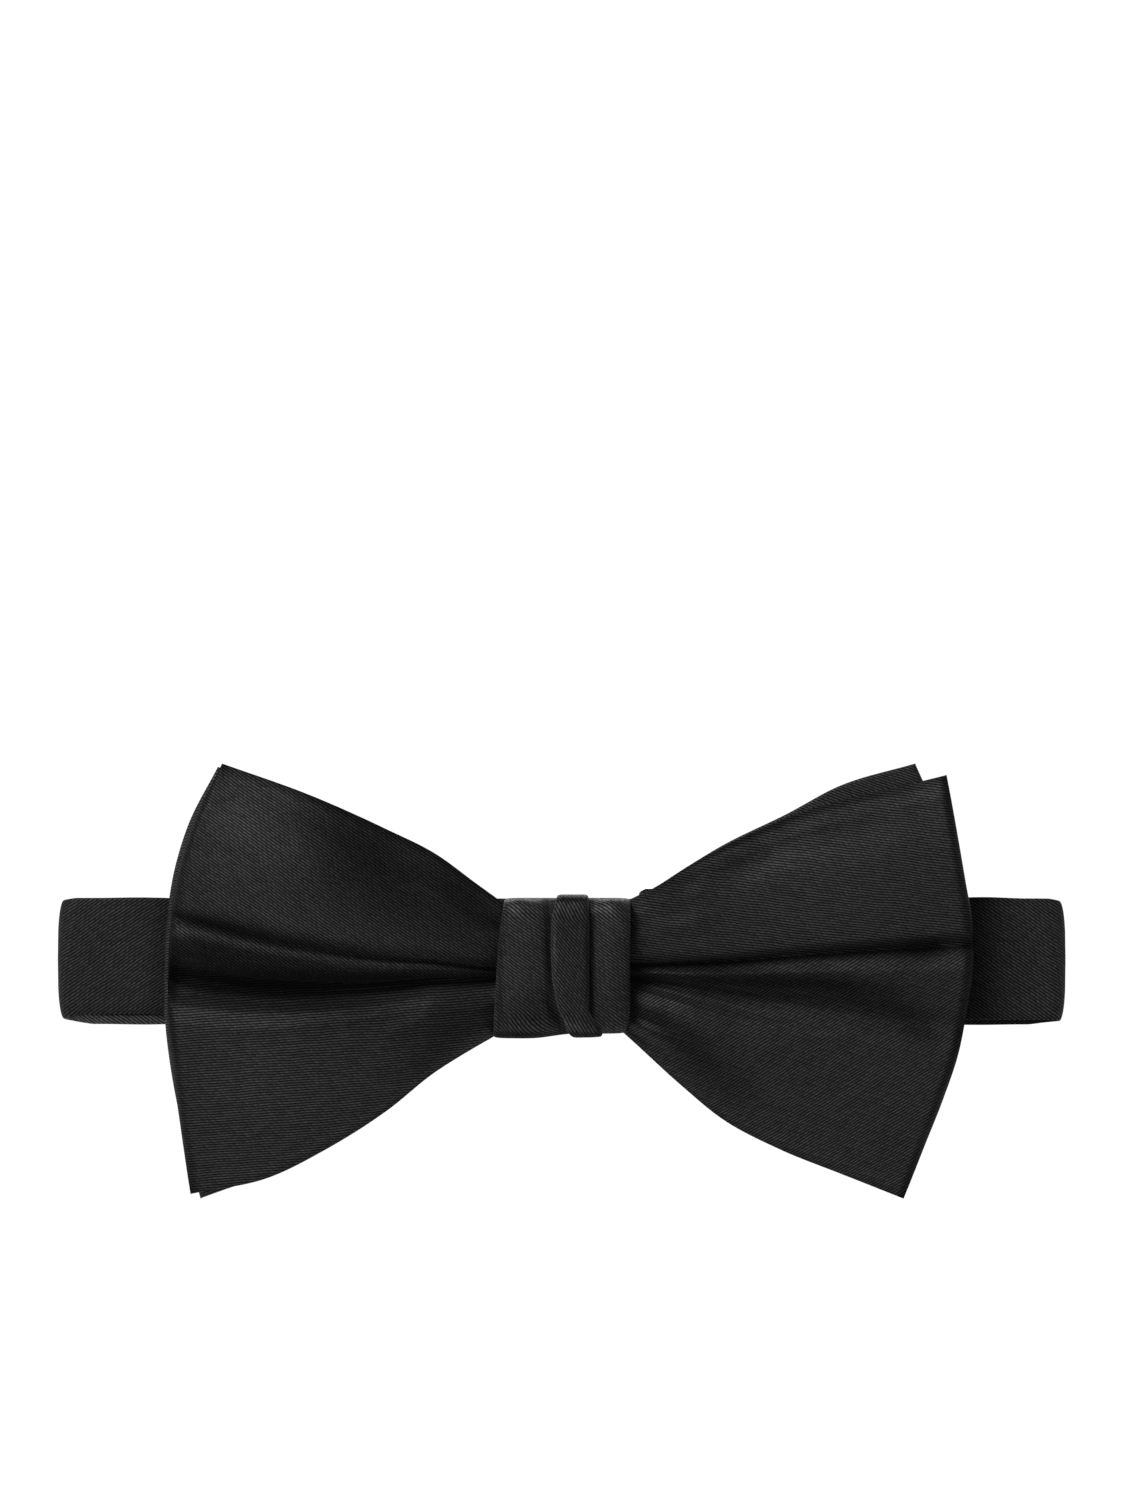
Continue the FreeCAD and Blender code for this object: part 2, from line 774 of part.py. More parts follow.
def make_strap_ends():
    """The hem round the eye's bar, the turn round the hook's bar, the hem on the slider, bar tacks."""
    base = size(folded_centre_height=1, band_width=-0.5)
    width = size(band_width=1)
    inner = size(turn_inner_radius=1)
    outer = size(turn_inner_radius=1, band_thickness=1)
    depth = size(bar_depth=1)
    leg = size(turn_leg=1)
    make_turn(
        "hook_turn", size(bar_reach=1), depth, base, width, inner, outer, leg, leg
    )
    make_turn(
        "eye_hem",
        size(bar_reach=-1),
        depth,
        base,
        width,
        inner,
        outer,
        size(eye_hem_leg=1),
        leg,
        180.0,
    )
    hem_depth = size(slider_back=1, slider_bar_thickness=-0.5)
    make_turn(
        "slider_hem",
        size(slider_position=1, slider_bar_width=-0.5),
        hem_depth,
        size(folded_centre_height=1, slider_hem_width=-0.5),
        size(slider_hem_width=1),
        size(slider_hem_radius=1),
        size(slider_hem_radius=1, slider_hem_thickness=1),
        size(slider_hem_leg=0.75),
        size(slider_hem_leg=1),
        180.0,
    )
    face = size(bar_depth=2, outer_run_depth=-1, band_thickness=0.5, bar_tack_stand_off=1)
    for name, place in (
        ("eye_hem_bar_tack", size(bar_reach=-1, eye_tack_inset=1)),
        ("slider_hem_bar_tack", size(slider_position=1, slider_tack_inset=1)),
    ):
        body = make_zigzag(name, place, face, size(folded_centre_height=1), **BAR_TACK)
        body.Placement.Rotation = FreeCAD.Rotation(FreeCAD.Vector(0, 1, 0), 90)
        spread = BAR_TACK["count"] * BAR_TACK["pitch"] / 2
        body.Placement.Base.z = ROWS["folded_centre_height"] + spread
        body.setExpression("Placement.Base.z", f"sizes.folded_centre_height + {spread}")


def check_and_write():
    """Stop on any feature that failed, then write one STEP file for each sub-part."""
    doc.recompute()
    for feature in doc.Objects:
        if {"Invalid", "Error"} & set(feature.State):
            raise ValueError(f"{feature.Label}: {feature.State}")
    os.makedirs("parts", exist_ok=True)
    for body in doc.findObjects("PartDesign::Body"):
        shape = body.Shape
        if shape.isNull() or not shape.isValid() or len(shape.Solids) != 1:
            raise ValueError(f"{body.Label}: not one sound solid")
        shape.exportStep(os.path.join("parts", body.Label + ".step"))
        box = shape.BoundBox
        print(
            f"{body.Label:32s} {shape.Volume:9.1f} mm3"
            f"  x {box.XMin:7.2f} {box.XMax:7.2f}  y {box.YMin:6.2f} {box.YMax:6.2f}"
            f"  z {box.ZMin:6.2f} {box.ZMax:6.2f}"
        )


make_knot()
for ply in PLIES:
    make_ply(ply)
make_neckband()
make_strap_ends()
make_eye()
make_hook()
make_slider()
check_and_write()
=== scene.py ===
# %% [markdown]
# # A pre-tied bow tie in black satin twill
#
# The part is a formal bow tie. Two stacked butterfly bows are pinched by a pleated knot, and a flat
# neckband runs behind them and is folded away. The rigid frame, with its joints and metal fastenings,
# comes from the CAD model. Everything made of cloth is modelled here and takes the place of the plain
# CAD solids, because cloth gets its look from pleats, rolled edges and the weave.
#
# The scene is in metres, X to the right, Y back towards the neck and Z up. Tables and helpers use
# millimetres, which are easier to think in, and multiply by MM at the end.

import json

import bmesh
import bpy
import numpy as np
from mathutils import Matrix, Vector


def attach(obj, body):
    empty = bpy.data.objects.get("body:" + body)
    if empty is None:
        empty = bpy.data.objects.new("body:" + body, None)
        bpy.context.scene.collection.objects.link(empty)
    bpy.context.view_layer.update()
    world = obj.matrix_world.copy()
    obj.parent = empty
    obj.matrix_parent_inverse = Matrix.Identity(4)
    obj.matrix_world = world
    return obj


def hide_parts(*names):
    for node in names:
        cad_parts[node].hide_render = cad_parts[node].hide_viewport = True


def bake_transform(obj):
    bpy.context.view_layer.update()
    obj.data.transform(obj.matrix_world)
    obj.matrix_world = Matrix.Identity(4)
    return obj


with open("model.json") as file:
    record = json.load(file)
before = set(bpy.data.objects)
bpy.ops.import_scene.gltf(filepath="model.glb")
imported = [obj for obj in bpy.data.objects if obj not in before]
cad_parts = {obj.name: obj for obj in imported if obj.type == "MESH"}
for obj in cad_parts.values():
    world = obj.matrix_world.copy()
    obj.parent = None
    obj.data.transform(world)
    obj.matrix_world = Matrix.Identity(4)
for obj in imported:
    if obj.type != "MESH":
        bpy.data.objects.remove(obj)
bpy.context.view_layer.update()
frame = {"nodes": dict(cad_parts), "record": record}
MM = 0.001

# %% [markdown]
# ## Smooth curves through measured points
#
# The edges of the wings are known at a few points each. A Catmull-Rom curve passes through every point
# and stays smooth between them, so a handful of points is enough for a whole edge. A Blender curve object
# could do the same, but a function gives as many points as the mesh needs at once. Two small shaping
# functions, a soft step and a soft hump, are used all through the script.

# %% Curves and soft shapes
def curve(points, t):
    """A smooth curve through the points, evenly spaced by length, at values t from 0 to 1."""
    p = np.asarray(points, float)
    p = p.reshape(len(p), -1)
    steps = np.linalg.norm(np.diff(p, axis=0), axis=1)
    knots = np.concatenate([[0], np.cumsum(steps)]) / steps.sum()
    slope = np.gradient(p, knots, axis=0)
    t = np.clip(np.asarray(t, float), 0, 1)
    i = np.clip(np.searchsorted(knots, t, side="right") - 1, 0, len(p) - 2)
    width = knots[i + 1] - knots[i]
    x = (t - knots[i]) / width
    a, b = p[i], p[i + 1]
    x, width = x[..., None], width[..., None]
    h = x * x * (3 - 2 * x)
    return (
        a * (1 - h)
        + b * h
        + slope[i] * width * x * (1 - x) ** 2
        - slope[i + 1] * width * x * x * (1 - x)
    )


def smooth(x, low=0.0, high=1.0):
    """0 below low, 1 above high, and a soft step between."""
    x = np.clip((np.asarray(x, float) - low) / (high - low), 0, 1)
    return x * x * (3 - 2 * x)


def bump(x, centre, width):
    """A soft hump one high."""
    return np.exp(-(((x - centre) / width) ** 2))


print("middle of a test curve:", np.round(curve([(0, 0), (1, 2), (2, 0)], 0.5), 2).tolist())

# %% [markdown]
# ## Closed meshes from rings of points
#
# On the real tie every piece of cloth is folded back on itself and sewn, so it has two layers and a
# closed edge. A plane with a Solidify modifier would do, but its edge would be square and its weave would
# have to be unwrapped by hand. Here each piece is a list of rings, one ring a row, and each ring runs
# round both layers. That also tells where on the cloth each point lies, which the weave needs.
#
# Satin is bright where its floats face the light and dark where they turn away, even on cloth that looks
# flat. A point attribute holds painted light and shade in place of that: 1 is plain satin, less is painted
# shade and more is a painted highlight. The material scales its colour and gloss by it.

# %% Closed meshes
WELD = 1e-7


def grid_mesh(name, points, uv, cap=None, painted_light=None):
    """A closed mesh from rings of points in millimetres, one ring a row. cap closes the first and last
    ring: "fold" joins each point to the one opposite, "plug" fills the ring, None merges the two rings."""
    rows, columns = points.shape[:2]
    number = np.arange(rows * columns).reshape(rows, columns)
    number = np.concatenate([number, number[:, :1]], axis=1)
    corners = [number[:-1, :-1], number[:-1, 1:], number[1:, 1:], number[1:, :-1]]
    faces = np.stack([c.ravel() for c in corners], axis=1).tolist()
    for ring, way in ((number[0, :-1], 1), (number[-1, :-1], -1)):
        if cap == "plug":
            faces.append(ring[::way].tolist())
        elif cap == "fold":
            half = columns // 2
            front, back = ring[:half], ring[half:][::-1]
            quads = np.stack([front[:-1], back[:-1], back[1:], front[1:]], axis=1)
            faces += quads[:, ::way].tolist()
    data = bpy.data.meshes.new(name)
    data.from_pydata((points.reshape(-1, 3) * MM).tolist(), [], faces)
    layer = data.uv_layers.new(name="cloth")
    flat = uv.reshape(-1, 2) * MM
    layer.data.foreach_set("uv", flat[np.concatenate(faces)].astype(np.float32).ravel())
    data.polygons.foreach_set("use_smooth", np.ones(len(faces), bool))
    data.update()
    # painted light and shade for each point, which the satin material reads
    painted_shading = data.attributes.new("painted_light", "FLOAT", "POINT")
    level = np.ones(points.shape[:2]) if painted_light is None else painted_light
    painted_shading.data.foreach_set("value", level.astype(np.float32).ravel())
    if cap is None:
        shape = bmesh.new()
        shape.from_mesh(data)
        bmesh.ops.remove_doubles(shape, verts=shape.verts, dist=WELD)
        shape.to_mesh(data)
        shape.free()
    piece = bpy.data.objects.new(name, data)
    bpy.context.scene.collection.objects.link(piece)
    return piece


print("points closer than", WELD, "m are welded")

# %% [markdown]
# ## The outline of each wing
#
# A wing is a fan: narrow where the knot pinches it and wide at its outer edge. The two bows are cut alike
# but sit slightly out of line, as hand-pinched ones do, so each wing has its own outline of three curves:
# the top and bottom edges from the knot outwards, and the outer edge from the top down. Three short lists
# are easier to correct than one closed outline, and they say where the corners are.

# %% Wing outlines
# Points are (x, z) in millimetres, from the knot outwards or from the top down.
LEFT_TOP = [(-7, 8.2), (-9.2, 9.8), (-12.6, 12.3), (-19, 17.0), (-26, 20.5), (-37.2, 25.5), (-50.6, 30.3)]
LEFT_BOTTOM = [
    (-7, -8.0), (-10.3, -10.4), (-12.6, -11.7), (-19, -15.6), (-26, -21.2), (-35.5, -27.2),
    (-43.6, -31.2), (-55.3, -33.7),
]
LEFT_EDGE = [
    (-50.5, 30.2), (-55.0, 20.8), (-57.1, 13.8), (-58.3, 5.1), (-58.7, -3.6), (-58.6, -8.3),
    (-58.0, -14.3), (-56.7, -23.8), (-55.3, -33.7),
]
RIGHT_TOP = [(7, 8.4), (10.1, 10.1), (13.2, 11.6), (18.6, 15.0), (23.9, 18.0), (33.5, 22.4), (57.1, 28.6)]
RIGHT_BOTTOM = [
    (7, -8.0), (10.4, -11.0), (17.4, -17.3), (23.9, -22.6), (32.3, -27.0), (41.2, -30.6), (50.7, -34.4),
]
RIGHT_EDGE = [
    (57.1, 28.6), (58.3, 21.9), (59.8, 13.1), (60.8, 7.0), (61.0, 0.6), (60.1, -6.5), (58.9, -12.5),
    (56.5, -19.6), (53.5, -27.2), (50.7, -34.4),
]
REAR_LEFT_TOP = [(-7, 7.6), (-12, 11.3), (-19, 16.2), (-26, 19.8), (-37.2, 24.6), (-51.4, 29.8)]
REAR_LEFT_BOTTOM = [(-7, -7.6), (-12, -10.6), (-19, -15.4), (-26, -21.2), (-35.5, -27.4), (-54.0, -34.6)]
REAR_LEFT_EDGE = [
    (-51.4, 29.8), (-55.9, 21.0), (-58.0, 14.0), (-59.2, 5.0), (-59.5, -3.6), (-59.3, -8.3),
    (-58.6, -14.3), (-57.2, -22.0), (-54.0, -34.6),
]
REAR_RIGHT_TOP = [
    (7, 7.8), (13.2, 11.4), (18.6, 14.9), (23.9, 18.1), (33.5, 22.8), (41.2, 26.9), (52.6, 30.3),
]
REAR_RIGHT_BOTTOM = [(7, -7.6), (17.4, -16.6), (23.9, -21.8), (32.3, -26.4), (49.9, -33.6)]
REAR_RIGHT_EDGE = [(52.6, 30.3), (57.0, 20.0), (59.4, 6.0), (59.6, -4.0), (57.6, -16.0), (49.9, -33.6)]
bow_width = max(x for x, _ in RIGHT_EDGE) - min(x for x, _ in REAR_LEFT_EDGE)
print("width of both bows together, mm:", round(bow_width, 1))

# %% [markdown]
# ## Lay the cloth out as a fan
#
# The cloth of a wing is laid out as columns from the top edge to the bottom edge, and the columns march
# from the knot to the outer edge. The last columns bend outwards to follow the curved outer edge, and the
# first ones stay straight, as the gathered cloth does.

# %% The fan
OUTWARD_BEND = 2.2


def wing_sheet(top, bottom, edge, s, t):
    """Where a wing's cloth lies in the XZ plane. s runs from the knot to the edge, t from top down."""
    a, b = curve(top, s)[:, None, :], curve(bottom, s)[:, None, :]
    down = t[None, :, None]
    flat = a * (1 - down) + b * down
    outer = curve(edge, t)
    straight = outer[0] * (1 - t[:, None]) + outer[-1] * t[:, None]
    bow = (outer - straight)[None] * (s[:, None, None] ** OUTWARD_BEND)
    return flat + bow


fan = wing_sheet(LEFT_TOP, LEFT_BOTTOM, LEFT_EDGE, np.linspace(0, 1, 3), np.linspace(0, 1, 3))
print("middle column of the left wing, (x, z):", np.round(fan[1], 1).tolist())

# %% [markdown]
# ## The pleats
#
# Each wing is creased twice where the knot gathers it: a field above, a small lit ridge, a deep valley
# and a field below. A cloth simulation could make such creases, but not these ones in these places. So
# the relief is written down as a profile, a list of heights from the top edge to the bottom edge, once at
# the knot and once at the outer edge. Between the two it is blended, which makes each crease run out
# from the knot as a slightly curved line. Heights are in millimetres towards the viewer.

# %% Pleat profiles
# Each row: place across the wing and height at the knot, then place and height at the outer edge.
LEFT_PLEATS = [
    (0.00, -1.0, 0.000, -0.6), (0.10, 1.2, 0.050, 1.0), (0.30, 2.2, 0.180, 2.6), (0.46, 1.4, 0.300, 2.5),
    (0.515, -0.2, 0.345, 1.2), (0.535, -1.3, 0.364, -0.4), (0.550, -0.5, 0.385, 0.5),
    (0.560, -0.6, 0.405, 0.9), (0.570, -1.0, 0.430, 0.2), (0.582, -1.8, 0.455, -1.4),
    (0.594, -2.4, 0.480, -3.6), (0.612, -2.1, 0.505, -5.0), (0.632, -0.8, 0.535, -3.2),
    (0.660, 0.4, 0.570, 0.0), (0.700, 1.2, 0.610, 1.5), (0.780, 1.9, 0.690, 2.6), (0.900, 1.2, 0.850, 2.2),
    (0.960, 0.3, 0.950, 1.0), (1.000, -1.0, 1.000, -0.6),
]
RIGHT_PLEATS = [
    (0.00, -1.0, 0.000, -0.6), (0.10, 1.2, 0.050, 1.0), (0.30, 2.0, 0.180, 2.6), (0.42, 1.3, 0.300, 2.3),
    (0.460, 0.2, 0.358, 1.0), (0.488, -1.6, 0.392, -1.3), (0.510, -0.5, 0.418, 0.4),
    (0.530, 0.1, 0.450, 1.5), (0.550, -1.6, 0.520, 0.9), (0.570, -2.3, 0.575, -0.4),
    (0.595, -1.4, 0.610, 0.4), (0.640, 0.6, 0.660, 1.6), (0.760, 1.9, 0.760, 2.6), (0.900, 1.2, 0.880, 2.1),
    (0.960, 0.3, 0.955, 1.0), (1.000, -1.0, 1.000, -0.6),
]
for side, pleats in (("left", LEFT_PLEATS), ("right", RIGHT_PLEATS)):
    print(side, "wing: deepest crease at the outer edge, mm:", min(row[3] for row in pleats))


# %% Relief from the profiles
def pleat_relief(pleats, s, t):
    """Height of the pleats over the grid, blended from the knot's profile to the outer edge's."""
    rows = np.array(pleats)
    out = np.empty((len(s), len(t)))
    for n, along in enumerate(s):
        share = along**0.8
        places = rows[:, 0] * (1 - share) + rows[:, 2] * share
        heights = rows[:, 1] * (1 - along) + rows[:, 3] * along
        slope = np.gradient(heights, places)
        i = np.clip(np.searchsorted(places, t, side="right") - 1, 0, len(places) - 2)
        width = places[i + 1] - places[i]
        x = (t - places[i]) / width
        h = x * x * (3 - 2 * x)
        out[n] = (
            heights[i] * (1 - h)
            + heights[i + 1] * h
            + 0.6 * width * (slope[i] * x * (1 - x) ** 2 - slope[i + 1] * x * x * (1 - x))
        )
    return out


print("relief grid:", pleat_relief(LEFT_PLEATS, np.linspace(0, 1, 5), np.linspace(0, 1, 9)).shape)

# %% [markdown]
# ## Unevenness, wrinkles and patches of painted light and shade
#
# Real cloth is never quite even. Soft noise is a coarse grid of random numbers smoothed out, with its own
# seed, so that it is the same each time. A soft spot is a long oval hill: with a height it is a wrinkle,
# and with an amount of light it is a patch of painted shade or painted highlight. Turning the cloth
# coordinates makes the weave run at another angle, as where a wing has been folded across its grain.

# %% Helpers for uneven cloth
def soft_noise(shape, cells, seed):
    """Smooth random relief from -1 to 1."""
    source = np.random.default_rng(seed).uniform(-1, 1, (cells[0] + 3, cells[1] + 3))
    axes = [np.linspace(0.5, c + 1.5, n) for c, n in zip(cells, shape)]
    for axis, where in enumerate(axes):
        i = where.astype(int)
        f = smooth(where - i)
        near = np.take(source, i, axis)
        far = np.take(source, i + 1, axis)
        f = f[:, None] if axis == 0 else f[None, :]
        source = near * (1 - f) + far * f
    return source


def rotated(points, degrees, shift=0.0):
    """Cloth coordinates turned by an angle, so that the weave runs another way."""
    a = np.radians(degrees)
    u = points[..., 0] * np.cos(a) + points[..., 1] * np.sin(a)
    v = -points[..., 0] * np.sin(a) + points[..., 1] * np.cos(a)
    return np.stack([u + shift, v], axis=-1)


def soft_spots(x, y, spots):
    """A sum of oval hills, each (centre x, centre y, half length, half width, turn, amount)."""
    total = np.zeros(x.shape)
    for centre_x, centre_y, run, width, turn, amount in spots:
        a = np.radians(turn)
        lengthwise = (x - centre_x) * np.cos(a) + (y - centre_y) * np.sin(a)
        across = -(x - centre_x) * np.sin(a) + (y - centre_y) * np.cos(a)
        total = total + amount * np.exp(-((lengthwise / run) ** 2) - (across / width) ** 2)
    return total


print("noise from", np.round(soft_noise((20, 20), (3, 3), 1).min(), 2), "up")

# %% [markdown]
# ## One wing
#
# A wing is an envelope with a front and a back layer. The front carries the full relief and the back only
# part of it, so the wing is thicker in its fields than in its creases. Near the free edges both layers
# roll together to a rounded fold. That roll is what makes the edges look soft, and it is the reason
# for making the wing from rings and not from a flat plane.
#
# Each wing has two weave angles, one above its first crease and one below, because the cloth is folded
# there. Each front wing also has a thin rim of painted shade along each edge, where the rolled cloth turns
# away from the light; the rear left wing has a painted lighter rim on its outer edge instead.

# %% One wing
COLUMNS, ROWS = 260, 240
EDGE_START = 0.975  # where along the wing the outer edge begins to roll
RIM_WIDTH = 1.1
WING_LENGTH = 50
THINNEST = 0.7


def wing_relief(pleats, wrinkles, s, t, strength, seed):
    """Height of the pleats, the wrinkles and a little unevenness over the grid."""
    grid_s, grid_t = np.broadcast_arrays(s[:, None], t[None, :])
    relief = pleat_relief(pleats, s, t) * strength
    relief = relief * (0.85 + 0.15 * smooth(grid_s, 0.0, 0.4))
    relief = relief + soft_spots(grid_s, grid_t, wrinkles)
    return relief + 0.12 * strength * soft_noise(relief.shape, (9, 11), seed)


def edge_roll(grid_s, grid_t):
    """1 inside the wing, falling to 0 in a round curve at its free edges."""
    outer = np.sqrt(1 - np.clip((grid_s - EDGE_START) / (1 - EDGE_START), 0, 1) ** 2)
    sides = np.sqrt(np.clip(1 - np.abs(2 * grid_t - 1) ** 14, 0, 1))
    return outer * sides


def painted_wing_rims(plan, grid_s, grid_t, painted_rims):
    """Painted light and shade along the top, bottom and outer edges: a negative amount darkens, a positive
    one lightens.
    """
    height = np.linalg.norm(plan[:, -1] - plan[:, 0], axis=1)[:, None]
    distances = (grid_t * height, (1 - grid_t) * height, (1 - grid_s) * WING_LENGTH)
    return sum(amount * np.exp(-((d / RIM_WIDTH) ** 4)) for amount, d in zip(painted_rims, distances))


def wing(name, outline, pleats, base, wrinkles, weave, split, strength, painted_patches, painted_rims):
    """One wing: a closed, slightly plump envelope of cloth with its pleats."""
    detail = 1.0
    s = np.linspace(0, 1, int(COLUMNS * detail))
    t = np.linspace(0, 1, int(ROWS * detail))
    grid_s, grid_t = np.broadcast_arrays(s[:, None], t[None, :])
    plan = wing_sheet(*outline, s, t)
    x, z = plan[..., 0], plan[..., 1]
    relief = wing_relief(pleats, wrinkles, s, t, strength, seed=len(name))
    roll = edge_roll(grid_s, grid_t)
    puff = base(grid_s, grid_t)
    front = puff + relief * (0.25 + 0.75 * roll)
    field = smooth(grid_s, 0.05, 0.5) * (1 - smooth(np.abs(2 * grid_t - 1), 0.6, 1))
    thick = 0.35 + (0.55 + 1.3 * field)
    back = np.minimum(puff + 0.6 * relief - thick, front - THINNEST)
    middle = (front + back) / 2
    front = middle + (front - middle) * roll
    back = middle + (back - middle) * roll
    face = np.stack([x, -front, z], axis=-1)
    rear = np.stack([x, -back, z], axis=-1)
    loop = np.concatenate([face, rear[:, ::-1]], axis=1)
    upper, lower = weave
    cloth = np.where((grid_t < split(grid_s))[..., None], rotated(plan, upper), rotated(plan, lower, 300.0))
    uv = np.concatenate([cloth, cloth[:, ::-1]], axis=1)
    # painted shade at the rims, on both layers, and the painted light and shade of the patches, on the front
    rim = painted_wing_rims(plan, grid_s, grid_t, painted_rims)
    painted_shading = np.exp(np.concatenate([rim + soft_spots(x, z, painted_patches), rim[:, ::-1]], axis=1))
    return grid_mesh(name, loop, uv, cap="fold", painted_light=painted_shading)


print("a wing has", 2 * COLUMNS * ROWS, "points at full detail")

# %% [markdown]
# ## How far each bow stands from the neck
#
# The rear bow lies flat on the neckband. The front bow starts level with it inside the knot, puffs
# forward as soon as it is free, and falls back a little at its tips.

# %% Depth of the bows


def front_base(s, t):
    """Depth of the front bow: level with the knot's inside, then puffed forward."""
    forward = 4.9 + 3.6 * smooth(s, 0.0, 0.30)
    crown = 0.6 * np.sin(np.pi * t) * smooth(s, 0.2, 0.9)
    return forward + crown - 1.6 * smooth(s, 0.6, 1.0)


def rear_base(s, t):
    """Depth of the rear bow, close to the neckband."""
    return 3.0 + 0.5 * smooth(s, 0.1, 0.5)


print("front bow's middle stands out, mm:", round(float(front_base(0.5, 0.5)), 1))

# %% [markdown]
# ## Wrinkles and painted light and shade of each front wing
#
# Small wrinkles fan out from the knot where the cloth is crushed, and a long shallow one softens each top
# edge. The patches are painted light and shade in place of what broad soft light does on satin: painted
# shade over wide fields beside the knot and in the hollows along both creases, a painted highlight on the
# lit lip between them and on the broad outer fields. A painted image would do the same, but these
# numbers can be read and changed.

# %% Tables of wrinkles and patches
# Wrinkles: place along and across the wing from 0 to 1, half length, half width, turn, height in mm.
LEFT_WRINKLES = [
    (0.20, 0.10, 0.18, 0.050, 14, -0.5), (0.14, 0.17, 0.12, 0.040, 10, 0.20),
    (0.13, 0.24, 0.12, 0.045, 16, -0.35), (0.55, 0.06, 0.40, 0.10, 4, -1.1),
    (0.16, 0.80, 0.13, 0.04, -12, -0.5),
]
RIGHT_WRINKLES = [
    (0.12, 0.80, 0.10, 0.035, -16, -0.7), (0.14, 0.86, 0.12, 0.030, -12, 0.3),
    (0.16, 0.92, 0.14, 0.035, -8, -0.6), (0.16, 0.20, 0.16, 0.07, 10, -0.4),
    (0.30, 0.94, 0.20, 0.06, -4, -0.6), (0.48, 0.06, 0.34, 0.07, 3, -0.8),
]
# Painted light and shade: x, z, half length and half width in mm, turn in degrees, and the logarithm of
# the painted brightness.
LEFT_PAINTED_LIGHT = [
    (-27.5, 16.0, 13, 5.8, -31, -1.05), (-47.5, 20.0, 9, 9.0, 0, 0.16), (-40.0, 7.0, 14, 3.0, -14, 0.16),
    (-47.0, -1.9, 13, 2.3, -4, -0.90), (-57.5, 4.8, 1.6, 1.0, 0, 0.50), (-50.0, 6.3, 9, 1.2, -12, -0.95),
    (-34.0, 3.3, 10, 0.9, -9, -0.50), (-45.0, 1.3, 14, 1.3, -7, -0.40), (-44.0, -4.3, 15, 1.9, -3, -0.60),
    (-27.0, -6.7, 10, 2.0, 8, -0.35), (-17.5, -12.0, 10, 3.0, 38, -0.40), (-57.2, 1.0, 1.4, 3.0, 0, -0.50),
    (-53.5, 3.2, 5, 1.5, -8, -0.55), (-27.0, -1.9, 12, 1.5, 0, -0.95), (-40.0, -8.0, 17, 4.0, 3, -0.50),
    (-45.0, 2.2, 13, 1.8, -8, -0.40), (-13.5, 9.8, 5, 2.0, -36, -0.70), (-44.0, -16.0, 13, 9.0, 0, 0.16),
    (-19.0, -7.5, 8, 4.0, 10, -0.25),
]
RIGHT_PAINTED_LIGHT = [
    (44.0, 15.0, 16, 7.0, 10, 0.12), (16.5, 12.0, 7, 2.0, 32, -0.35), (32.0, 19.0, 19, 3.6, 26, -0.45),
    (14.0, -6.5, 6, 4.0, -38, -0.45), (45.0, 2.5, 13, 1.1, 6, -0.60), (20.0, 0.5, 12, 0.9, 3, -0.60),
    (53.5, 2.4, 4, 1.5, 10, -0.80), (57.5, 3.2, 1.5, 1.2, 0, 0.50), (33.0, -1.9, 15, 1.5, -4, -0.95),
    (44.0, -4.0, 9, 2.2, -24, -0.40), (52.0, -8.0, 5, 1.8, -50, -0.35), (19.8, -13.0, 10, 3.0, -41, -0.60),
    (25.5, 15.4, 7, 1.7, 30, -0.45), (37.0, -4.6, 15, 2.6, -10, -0.45), (30.0, -9.0, 12, 5.0, -30, -0.22),
    (24.0, 15.0, 9, 3.0, 28, -0.30), (17.0, 6.0, 8, 2.0, 12, -0.30), (45.0, -19.0, 12, 7.0, 0, 0.14),
]
print("patches:", len(LEFT_PAINTED_LIGHT), "left,", len(RIGHT_PAINTED_LIGHT), "right")

# %% [markdown]
# ## Build the four wings
#
# The front wings get everything. The rear wings are mostly hidden, so they use the same pleats at a third
# of their strength. All four ride on the bow, which is the body that the collar holds.

# %% Build the four wings
def split_line(at_knot, at_edge):
    """Where the weave changes its angle, from the knot to the edge."""
    return lambda s: at_knot * (1 - s**0.8) + at_edge * s**0.8


LEFT_FRONT = ((LEFT_TOP, LEFT_BOTTOM, LEFT_EDGE), LEFT_PLEATS, front_base, LEFT_WRINKLES)
RIGHT_FRONT = ((RIGHT_TOP, RIGHT_BOTTOM, RIGHT_EDGE), RIGHT_PLEATS, front_base, RIGHT_WRINKLES)
LEFT_REAR = ((REAR_LEFT_TOP, REAR_LEFT_BOTTOM, REAR_LEFT_EDGE), LEFT_PLEATS, rear_base, [])
RIGHT_REAR = ((REAR_RIGHT_TOP, REAR_RIGHT_BOTTOM, REAR_RIGHT_EDGE), RIGHT_PLEATS, rear_base, [])
WINGS = {
    # shape, two weave angles, where they meet, strength of the pleats, painted light patches, painted rims
    "front_wing_left": (*LEFT_FRONT, (-35, 4), (0.59, 0.475), 1.0, LEFT_PAINTED_LIGHT, (-0.45, -0.2, -0.7)),
    "front_wing_right": (*RIGHT_FRONT, (-7, 32), (0.49, 0.397), 1.0, RIGHT_PAINTED_LIGHT, (-0.3, -0.2, -0.9)),
    "rear_wing_left": (*LEFT_REAR, (20, 20), (0.5, 0.5), 0.3, (), (0, 0, 0.35)),
    "rear_wing_right": (*RIGHT_REAR, (-20, -20), (0.5, 0.5), 0.3, (), (0, 0, 0)),
}
wings = []
for name, (*shape, weave, meet, strength, painted_patches, painted_rims) in WINGS.items():
    piece = wing(name, *shape, weave, split_line(*meet), strength, painted_patches, painted_rims)
    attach(piece, "bow")
    wings.append(piece)
    print(piece.name, len(piece.data.vertices), "points")

